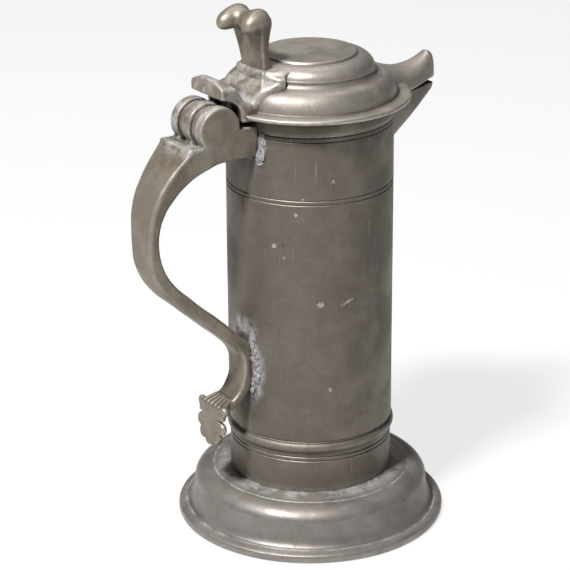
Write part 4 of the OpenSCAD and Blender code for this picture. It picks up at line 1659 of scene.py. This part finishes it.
    def build_solder(self, shop: Workshop) -> None:
        """Makes the lumpy seams at the handle's two joints.

        Args:
            shop: The trees and finishes.
        """
        metal = shop.finishes[Slot.SOLDER]
        upper = [self.on_drum(y, z) for y, z in [(-16.6, 230.6), (-16.0, 226.0), (-15.4, 221.5), (-14.0, 217.6),
                                                 (-8.0, 216.4), (0.0, 216.2), (8.0, 216.4), (14.0, 217.6),
                                                 (15.4, 221.5), (16.0, 226.0), (16.6, 230.6)]]
        drips = [self.on_drum(y, z) for y, z in [(-16.8, 229.0), (-17.6, 223.0), (-16.6, 216.5), (-15.0, 213.8)]]
        drops = (self.drop_gap, self.drop_sizes, self.drop_flat)
        mesh = shop.bead.melt("upper_solder", [upper, drips], metal, *drops, scatter=0.8, seed=3)
        settle("upper_seam", mesh, "upper_solder", Body.VESSEL, metal)
        near = [(-8.0, 112.5), (-9.2, 108.0), (-10.4, 102.0), (-10.9, 96.0), (-10.4, 90.0), (-9.2, 84.5)]
        wide = [(-9.8, 109.0), (-12.0, 102.0), (-12.7, 95.0), (-11.8, 88.0)]
        seams = [[self.on_drum(side * y, z) for y, z in line] for line in (near, wide) for side in (1.0, -1.0)]
        mesh = shop.bead.melt("lower_solder", seams, metal, *drops, scatter=0.9, seed=9)
        settle("lower_seam", mesh, "lower_solder", Body.VESSEL, metal)


@dataclass
class HingePin:
    """The round pin in its blind bore, and the plug that closes the bore."""

    centre: Point = (-65.9, 236.2)
    radius: float = 2.5
    near_y: float = -12.89
    far_y: float = 12.89
    face_y: float = 15.2

    def build(self, shop: Workshop) -> None:
        """Makes the pin and the plug.

        Args:
            shop: The trees and finishes.
        """
        r = self.radius
        steel = shop.finishes[Slot.PIN]
        line = [(0.0, self.near_y), (r - 0.5, self.near_y), (r, self.near_y + 0.5), (r, self.far_y - 0.5),
                (r - 0.5, self.far_y), (0.0, self.far_y)]
        pin = shop.turned.turn("hinge_pin", filled(line, 2.0), steel, 48)
        lay_along(pin, self.centre)
        settle("hinge_pin_rod", pin, "hinge_pin", Body.VESSEL, steel)
        metal = shop.finishes[Slot.DRUM]
        face = self.face_y
        dome = [(0.0, self.far_y), (r, self.far_y), (r, face - 0.25), (r - 0.3, face + 0.05), (r * 0.6, face + 0.25),
                (r * 0.25, face + 0.32), (0.0, face + 0.34)]
        plug = shop.turned.turn("pin_plug", filled(dome, 0.8), metal, 48)
        lay_along(plug, self.centre)
        settle("pin_plug_head", plug, "pin_plug", Body.VESSEL, metal)


@dataclass
class Lid:
    """The turned lid: flange, lower dome, cove, upper dome and raised disc."""

    base_z: float = 239.9
    flange_r: float = 54.0
    flange_t: float = 2.3
    dome_r: float = 46.6
    dome_h: float = 13.2
    shoulder_r: float = 38.735
    step_r: float = 34.5
    step_h: float = 16.98
    disc_r: float = 25.2
    disc_t: float = 1.3
    height: float = 25.3
    wall: float = 2.0
    hinge: Point = (-65.9, 236.2)
    hinge_cut: float = 15.6

    def skin(self) -> list[Point]:
        """Draws the lid's outside from the flange's underside to the middle of the disc.

        Returns:
            Radii and heights, in millimetres.
        """
        b, t, h = self.base_z, self.flange_t, self.height - self.disc_t
        lip = [(self.flange_r - 0.6, b), (self.flange_r - 0.1, b + 0.35), (self.flange_r, b + 1.0),
               (self.flange_r - 0.15, b + t - 0.5), (self.flange_r - 0.8, b + t), (self.dome_r + 0.8, b + t + 0.1)]
        lower = arc((self.shoulder_r, b + t), self.dome_r - self.shoulder_r, self.dome_h - t, 4, 84, 24)
        bead = [(self.shoulder_r + 0.45, b + self.dome_h + 0.1), (self.shoulder_r - 0.15, b + self.dome_h + 0.12),
                (self.shoulder_r - 0.55, b + self.dome_h - 0.1)]
        cove = arc((self.shoulder_r - 0.4, b + self.step_h), self.shoulder_r - 0.4 - self.step_r,
                   self.step_h - self.dome_h - 0.1, 262, 190, 16)
        nose = [(self.step_r + 0.2, b + self.step_h - 0.1), (self.step_r + 0.28, b + self.step_h + 0.4)]
        run = self.step_r - self.disc_r - 0.4
        upper = arc((self.disc_r + 0.4, b + self.step_h), run, h - self.step_h, 6, 88, 24)
        disc = [(self.disc_r + 0.1, b + h), (self.disc_r, b + self.height - 0.45),
                (self.disc_r - 0.35, b + self.height - 0.05), (self.disc_r - 1.0, b + self.height),
                (0.0, b + self.height)]
        return lip + lower + bead + cove + nose + upper + disc

    def envelope(self) -> list[Point]:
        """Draws the whole room that the lid fills, its hollow included."""
        return self.skin() + [(0.0, self.base_z)]

    def hollow(self) -> list[Point]:
        """Draws the lid's inside from the middle to the flange's underside.

        Returns:
            Radii and heights, in millimetres.
        """
        b, w = self.base_z, self.wall
        top = self.height - self.disc_t - w
        upper = arc((self.disc_r - w, b + self.dome_h), self.step_r - self.disc_r, top - self.dome_h, 90, 0, 14)
        lower = arc((self.shoulder_r, b + self.flange_t), self.dome_r - self.shoulder_r - w,
                    self.dome_h - self.flange_t - w, 90, 0, 14)
        return [(0.0, b + top)] + upper + lower + [(self.dome_r - w, b)]

    def build(self, shop: Workshop) -> None:
        """Makes the lid and cuts its flange clear of the hinge.

        Args:
            shop: The trees and finishes.
        """
        metal = shop.finishes[Slot.LID]
        shell = shop.turned.turn("lid", filled(self.skin() + self.hollow(), 2.0), metal, 256, uneven=0.3,
                                 waves=24.0, seed=8.0)
        room = bpy.data.meshes.new("hinge_room")
        work = bmesh.new()
        r = self.hinge_cut * MM
        bmesh.ops.create_cone(work, cap_ends=True, segments=96, radius1=r, radius2=r, depth=40 * MM)
        work.to_mesh(room)
        work.free()
        lay_along(room, self.hinge)
        settle("lid_shell", carve(shell, room), "lid", Body.LID, metal)


@dataclass
class LidStrap:
    """The hinge strap: two leaves, a crowned tongue, a hollow pad on the dome and a collar."""

    hinge: Point = (-65.9, 236.2)
    barrel_r: float = 12.2
    tongue_r: float = 15.6
    tongue_w: float = 30.0
    tongue_x: float = -64.77
    tongue_z: float = 261.0
    tongue_t: float = 9.2
    collar_x: float = -35.8
    leaf_r: float = 10.9
    leaf_w: float = 4.5
    leaf_y: float = 5.95
    lid_z: float = 239.9
    pad_t: float = 1.7
    pad_top: float = 259.0
    collar_r: float = 27.6
    collar_half: float = 4.75
    collar_end: float = 36.0
    collar_z: float = 258.6
    collar_h: float = 3.0
    bore_r: float = 2.55
    lid_sink: float = 0.35

    def point(self, across: float, drop: float) -> Point:
        """Places shares of the strap's length and of the tongue's thickness."""
        return (self.tongue_x + across * (self.collar_x - self.tongue_x), self.tongue_z - drop * self.tongue_t)

    def outline(self) -> list[Point]:
        """Draws the block's side outline.

        Returns:
            Its points, in millimetres.
        """
        p = [self.point(*shares) for shares in ((0, 0), (0.16, 0.01), (0.26, 0.24), (0.35, 0.63), (0.42, 0.95),
                                                (0.46, 1.25), (0.55, 1.58))]
        foot = self.hinge[0] + self.tongue_r - 0.4
        return ([(self.tongue_x, self.hinge[1] + self.barrel_r)] + curve(p[:4], 24) + curve(p[3:], 20)
                + [(-46.0, 244.5), (-46.0, self.lid_z), (foot, self.lid_z)])

    def block_field(self, block: Field, radial: np.ndarray) -> np.ndarray:
        """Shapes the tongue over the barrel.

        Args:
            block: The sample points.
            radial: Distances from the hinge pin.

        Returns:
            Its field.
        """
        side = cut(outline_distance(block.x, block.z, self.outline()), radial - self.tongue_r, 0.5)
        solid = drawn_out(side, block.y, self.tongue_w / 2, 1.0)
        crown = 0.26 * self.tongue_w / 2
        crown_r = ((self.tongue_w / 2) ** 2 + crown**2) / (2 * crown)
        return shared(solid, np.hypot(block.y, block.z - self.tongue_z + crown_r) - crown_r, 1.4)

    def pad_field(self, block: Field, lid: np.ndarray) -> np.ndarray:
        """Shapes the pad that spreads from the tongue over the lid's dome.

        Args:
            block: The sample points.
            lid: Distances from the lid's outside.

        Returns:
            Its field.
        """
        half = np.interp(block.x, [-56.0, -50.0, -46.0, -42.0, -38.0, -33.0, -26.0],
                         [13.4, 13.8, 14.6, 17.0, 19.4, 21.0, 21.6])
        thick = np.interp(block.x, [-46.0, -33.0], [self.pad_t, self.pad_t + 2.4])
        plan = np.maximum(np.abs(block.y) - half, np.abs(block.x + 41.0) - 11.0)
        return shared(shared(lid - thick, plan, 2.4), block.z - self.pad_top, 1.0)

    def collar_field(self, block: Field) -> np.ndarray:
        """Shapes the collar that holds the thumb-piece.

        Args:
            block: The sample points.

        Returns:
            Its field.
        """
        r = np.hypot(block.x, block.y)
        turn = np.degrees(np.arctan2(np.abs(block.y), -block.x))
        half = self.collar_half - 2.3 * rising(turn, 20, 16)
        ring = np.maximum(np.abs(r - self.collar_r - half) - half, (turn - self.collar_end) * 0.6)
        front = np.maximum(np.abs(block.x + 34.5) - 2.6, np.abs(block.y) - 11.4)
        flat = joined(ring, front, 0.6)
        solid = drawn_out(flat, block.z - self.collar_z, self.collar_h, 0.9)
        line = np.hypot(flat + 1.5, block.z - 261.9) - 0.75 + np.clip(turn - 27, 0, 9) * 0.2
        return cut(solid, line, 0.4)

    def build(self, shop: Workshop, lid_outline: Sequence[Point]) -> None:
        """Makes the strap.

        Args:
            shop: The trees and finishes.
            lid_outline: The room that the lid fills.
        """
        block = Field((-80.0, -23.0, 223.0), (-26.0, 23.0, 264.0), 0.4)
        radial = np.hypot(block.x - self.hinge[0], block.z - self.hinge[1])
        lid = block.revolved(lid_outline)
        solid = joined(self.block_field(block, radial), self.pad_field(block, lid), 6.0)
        solid = joined(solid, self.collar_field(block), 6.5)
        angle = np.degrees(np.arctan2(block.z - self.hinge[1], block.x - self.hinge[0]))
        arm = np.maximum(radial - self.tongue_r - 1.7, np.maximum(8 - angle, angle - 52) * 0.2)
        leaf = np.minimum(radial - self.leaf_r, arm)
        for sign in (-1, 1):
            solid = joined(solid, drawn_out(leaf, block.y - sign * self.leaf_y, self.leaf_w / 2, 0.5), 0.4)
        solid = np.maximum(solid, self.bore_r - radial)
        solid = np.maximum(solid, -(lid + self.lid_sink))
        mesh = block.mesh("lid_strap", solid, 3)
        close_up(mesh)
        roughen(mesh, 6.0, 0.16, 4)
        at = points_of(mesh) / MM
        store(mesh, Attribute.FROST, 0.75 * rising(at[:, 2], 244, 4))
        metal = shop.finishes[Slot.CAST]
        settle("lid_strap_casting", mesh, "lid_strap", Body.LID, metal)


@dataclass
class ThumbPiece:
    """The thumb-piece: a waisted shaft that widens to two buds."""

    seat_x: float = -32.6
    turn: float = 6.0
    foot_z: float = 256.88
    lobe_z: float = 289.0
    thick: float = 7.0
    lean: float = 4.6
    width: float = 19.0
    top_width: float = 26.2
    lobe_r: float = 5.7
    lobe_len: float = 19.6
    lobe_y: float = 7.9
    droop: float = 2.8
    seat_z: float = 260.6
    lid_sink: float = 0.8

    def shaft_field(self, x: np.ndarray, y: np.ndarray, z: np.ndarray) -> np.ndarray:
        """Shapes the shaft.

        Args:
            x: Distances along the strap.
            y: Distances across it.
            z: Heights.

        Returns:
            Its field.
        """
        low, top, half, lean = self.foot_z, self.lobe_z, self.thick / 2, self.lean
        mid = low + 0.42 * (top - low)
        front = curve([(-half, low), (-half - 0.25 * lean, mid), (-half - 0.5 * lean, mid), (-half - lean, top)])
        back = curve([(half, low), (half - 0.9 * lean, mid), (half - lean, mid), (half - lean, top)])
        side = outline_distance(x, z, front + back[::-1])
        wide = self.top_width / 2
        edge = curve([(self.width / 2, low), (self.width / 2, mid), (self.width / 2, mid), (wide, top - 4)])
        edge += curve([(wide, top - 4), (wide, top - 0.5), (wide - 2, top + 1), (self.lobe_y, top + 1)])
        face = outline_distance(y, z, edge + [(-a, b) for a, b in edge[::-1]])
        return shared(side, face, 1.7)

    def bud_field(self, x: np.ndarray, y: np.ndarray, z: np.ndarray) -> np.ndarray:
        """Shapes the two buds, whose tips droop.

        Args:
            x: Distances along the strap.
            y: Distances across it.
            z: Heights.

        Returns:
            Their field.
        """
        along = -(x + 0.3) * np.where(y < 0, 1.24, 1.0)
        drop = self.droop * np.clip(along / self.lobe_len, 0, 1.2) ** 2
        away = np.hypot(np.abs(y) - self.lobe_y, z - self.lobe_z + drop)
        n, r = self.lobe_len, self.lobe_r
        edge = curve([(0, 0), (0, 0.6 * r), (0.14 * n, r), (0.4 * n, r)], 20)
        edge += curve([(0.4 * n, r), (0.72 * n, r), (n, 0.72 * r), (n, 0)], 24)
        outline = edge + [(a, -b) for a, b in edge[-2:0:-1]]
        pitch, spare, widest = 0.18, 8.0, 40.0
        grid_a = np.arange(-spare, n + spare, pitch)
        grid_b = np.arange(0.0, widest, pitch)
        table = outline_distance(grid_a[:, None], grid_b[None, :], outline)
        ia = np.clip((along + spare) / pitch, 0, len(grid_a) - 2)
        ib = np.clip(away / pitch, 0, len(grid_b) - 2)
        ia, ib = np.broadcast_arrays(ia, ib)
        a0, b0 = ia.astype(int), ib.astype(int)
        fa, fb = ia - a0, ib - b0
        return ((table[a0, b0] * (1 - fb) + table[a0, b0 + 1] * fb) * (1 - fa)
                + (table[a0 + 1, b0] * (1 - fb) + table[a0 + 1, b0 + 1] * fb) * fa)

    def build(self, shop: Workshop, lid_outline: Sequence[Point]) -> None:
        """Makes the thumb-piece.

        Args:
            shop: The trees and finishes.
            lid_outline: The room that the lid fills.
        """
        block = Field((-64.0, -19.0, 256.0), (-22.0, 19.0, 297.0), 0.38)
        a = math.radians(self.turn)
        x = math.cos(a) * (block.x - self.seat_x) + math.sin(a) * block.y
        y = -math.sin(a) * (block.x - self.seat_x) + math.cos(a) * block.y
        z = block.z
        bridge = np.hypot(x + 7.0, z - self.lobe_z + 0.9) - 5.0
        bridge = np.maximum(bridge, np.abs(y) - self.lobe_y)
        solid = joined(joined(self.shaft_field(x, y, z), bridge, 1.5), self.bud_field(x, y, z), 3.0)
        solid = np.maximum(solid, -(block.revolved(lid_outline) + self.lid_sink))
        solid = np.maximum(solid, self.seat_z - z)
        mesh = block.mesh("thumb_piece", solid, 3)
        close_up(mesh)
        roughen(mesh, 6.0, 0.2, 9)
        metal = shop.finishes[Slot.CAST]
        settle("thumb_piece_casting", mesh, "thumb_piece", Body.LID, metal)


# The studio


@dataclass(frozen=True)
class Lamp:
    """A square soft lamp: its name, its place and side in metres, and its power in watts."""

    name: str
    at: Triple
    side: float
    power: float

    def hang(self, aim: Triple) -> None:
        """Hangs the lamp.

        Args:
            aim: What it faces, in metres.
        """
        light = bpy.data.lights.new(self.name, "AREA")
        light.shape = "SQUARE"
        light.size = self.side
        light.energy = self.power
        item = linked(self.name, light)
        item.location = self.at
        item.rotation_mode = "QUATERNION"
        item.rotation_quaternion = (Vector(aim) - Vector(self.at)).to_track_quat("-Z", "Y")


@dataclass
class Studio:
    """A white floor, soft light from the upper left and the photograph's camera."""

    eye: Triple = (-0.6883, -0.9830, 0.60206)
    forward: Triple = (0.5254, 0.7688, -0.3646)
    roll: float = 0.367
    lens: float = 148.84
    ambient: float = 0.05
    floor_glow: float = 0.75
    floor_pale: float = 0.9
    floor_dim: float = 0.1
    floor_half: float = 8.0
    floor_z: float = -0.0004
    aim: Triple = (0.0, 0.0, 0.14)
    lamps: tuple[Lamp, ...] = (Lamp("key_light", (-1.1, -0.42, 1.84), 0.3, 66.0),
                               Lamp("top_light", (0.35, 0.55, 1.7), 0.8, 6.0),
                               Lamp("front_light", (0.5, -1.8, 1.2), 1.0, 2.0))

    def build(self) -> None:
        """Sets up the floor, the light and the camera."""
        self.world()
        self.floor()
        for lamp in self.lamps:
            lamp.hang(self.aim)
        self.camera()
        bpy.context.scene.view_settings.view_transform = "Standard"

    @staticmethod
    def _seen(sheet: NodeSheet) -> bpy.types.NodeSocket:
        """Gives 1 to the camera, to reflections and to what is seen through clear materials.

        Args:
            sheet: The material's nodes.

        Returns:
            Whether the pale look shows.
        """
        path = sheet.add("ShaderNodeLightPath")
        both = sheet.sum("MAXIMUM", path.outputs["Is Camera Ray"], path.outputs["Is Glossy Ray"])
        return sheet.sum("MAXIMUM", both, path.outputs["Is Transmission Ray"])

    def world(self) -> None:
        """Gives the room a soft, even light."""
        world = bpy.data.worlds.new("soft_room")
        world.use_nodes = True
        back = world.node_tree.nodes["Background"]
        back.inputs["Color"].default_value = (1.0, 1.0, 1.0, 1.0)
        back.inputs["Strength"].default_value = self.ambient
        bpy.context.scene.world = world

    def floor(self) -> None:
        """Lays the pale floor, which keeps the object's shadow."""
        mesh = bpy.data.meshes.new("floor")
        half = self.floor_half
        ends = ((-half, -half), (half, -half), (half, half), (-half, half))
        mesh.from_pydata([(x, y, self.floor_z) for x, y in ends], [], [(0, 1, 2, 3)])
        item = linked("floor", mesh)
        material = bpy.data.materials.new("pale_floor")
        material.use_nodes = True
        sheet = NodeSheet(material.node_tree)
        matte = material.node_tree.nodes["Principled BSDF"]
        seen = self._seen(sheet)
        dim, pale = ((v, v, v) for v in (self.floor_dim, self.floor_pale))
        sheet.feed(matte.inputs["Base Color"], sheet.blend(seen, dim, pale))
        matte.inputs["Roughness"].default_value = 0.9
        glow = sheet.wire("ShaderNodeEmission", {"Color": (1.0, 1.0, 1.0)})
        share = sheet.sum("MULTIPLY", seen, self.floor_glow)
        mix = sheet.wire("ShaderNodeMixShader", {0: share, 1: matte.outputs[0], 2: glow.outputs[0]})
        sheet.feed(material.node_tree.nodes["Material Output"].inputs["Surface"], mix.outputs[0])
        mesh.materials.append(material)

    def camera(self) -> None:
        """Stands the camera where the photograph was taken."""
        data = bpy.data.cameras.new("photo_camera")
        data.sensor_fit = "HORIZONTAL"
        data.sensor_width = 36.0
        data.lens = self.lens
        data.clip_start, data.clip_end = 0.05, 60.0
        item = linked("photo_camera", data)
        item.location = self.eye
        item.rotation_mode = "QUATERNION"
        aim = Vector(self.forward).to_track_quat("-Z", "Y")
        item.rotation_quaternion = aim @ Quaternion((0.0, 0.0, 1.0), math.radians(-self.roll))
        bpy.context.scene.camera = item


def finishes(effects: PewterEffects) -> dict[Slot, bpy.types.Material]:
    """Mixes the flagon's finishes.

    Args:
        effects: The shared node groups.

    Returns:
        A material for each slot.
    """
    nicks = (Nick((-15.0, -42.4, 206.5), (1.3, 1.5, 1.1)), Nick((-28.6, -34.7, 197.1), (1.1, 1.2, 0.7)),
             Nick((-31.4, -32.2, 188.7), (1.2, 1.2, 1.2)), Nick((-38.7, -22.9, 170.3), (1.8, 2.0, 1.5)),
             Nick((-35.8, -27.3, 164.2), (1.2, 1.2, 1.0)), Nick((-20.9, -39.9, 138.3), (2.3, 2.2, 1.8)),
             Nick((-6.9, -44.5, 138.3), (4.2, 2.0, 1.0), (0.0, 24.0, 0.0)),
             Nick((-16.4, -41.9, 88.8), (1.2, 1.2, 1.4)))
    kinds = {
        # The drum's colours are darker than the lid's and foot's: partly its own patina, partly painted shade for its
        # upright wall
        Slot.DRUM: Finish("drum_pewter_shaded", (0.207, 0.184, 0.159), (0.174, 0.152, 0.128), (0.167, 0.138, 0.105),
                          frost=0.9, wear=0.4, gloss_rough=0.5, dull_rough=0.58, lines=2600.0, nicks=nicks),
        Slot.FOOT: Finish("foot_pewter", (0.310, 0.287, 0.273), (0.262, 0.241, 0.225), (0.241, 0.209, 0.181),
                          frost=0.5, grime_and_shade=0.5, gloss_rough=0.44, dull_rough=0.53, lines=2200.0),
        Slot.LID: Finish("lid_pewter", (0.377, 0.348, 0.324), (0.318, 0.290, 0.264), (0.302, 0.258, 0.208),
                         gloss_rough=0.44, dull_rough=0.53, lines=2400.0),
        Slot.CAST: Finish("cast_pewter", (0.316, 0.277, 0.230), (0.247, 0.212, 0.168), (0.231, 0.188, 0.138),
                          frost=0.75, wear=0.4, gloss_rough=0.46, dull_rough=0.57, ring_lines=4200.0,
                          grain_depth=0.16),
        Slot.SOLDER: Finish("solder", (0.475, 0.475, 0.497), (0.334, 0.330, 0.339), (0.282, 0.264, 0.242),
                            metal=(0.25, 0.1), gloss_rough=0.6, dull_rough=0.72, clouds=170.0, grain_depth=0.6),
        Slot.PIN: Finish("pin_metal", (0.240, 0.220, 0.192), (0.184, 0.168, 0.144), (0.176, 0.144, 0.112),
                         metal=(0.9, 0.7), gloss_rough=0.34, dull_rough=0.46, clouds=160.0),
    }
    return {slot: kind.material(effects) for slot, kind in kinds.items()}


def main() -> None:
    """Builds every piece in order and notes the sizes."""
    logging.basicConfig(level=logging.INFO, format="%(message)s")
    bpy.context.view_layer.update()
    shop = Workshop(TurnedShell(), SolderBead(), finishes(PewterEffects()))
    Studio().build()
    Drum().build(shop)
    Foot().build(shop)
    spout, lid, handle = Spout(), Lid(), Handle()
    spout.build(shop)
    handle.build(shop)
    handle.build_solder(shop)
    HingePin().build(shop)
    lid.build(shop)
    spout.build_cover(shop, lid.envelope())
    LidStrap().build(shop, lid.envelope())
    ThumbPiece().build(shop, lid.envelope())
    # Paints ambient-occlusion shade where pieces stand close to each other
    paint_occlusion_shade([item for item in bpy.context.scene.objects
             if item.type == "MESH" and Attribute.GRIME_AND_SHADE.value in item.data.attributes])


if __name__ == "__main__":
    main()
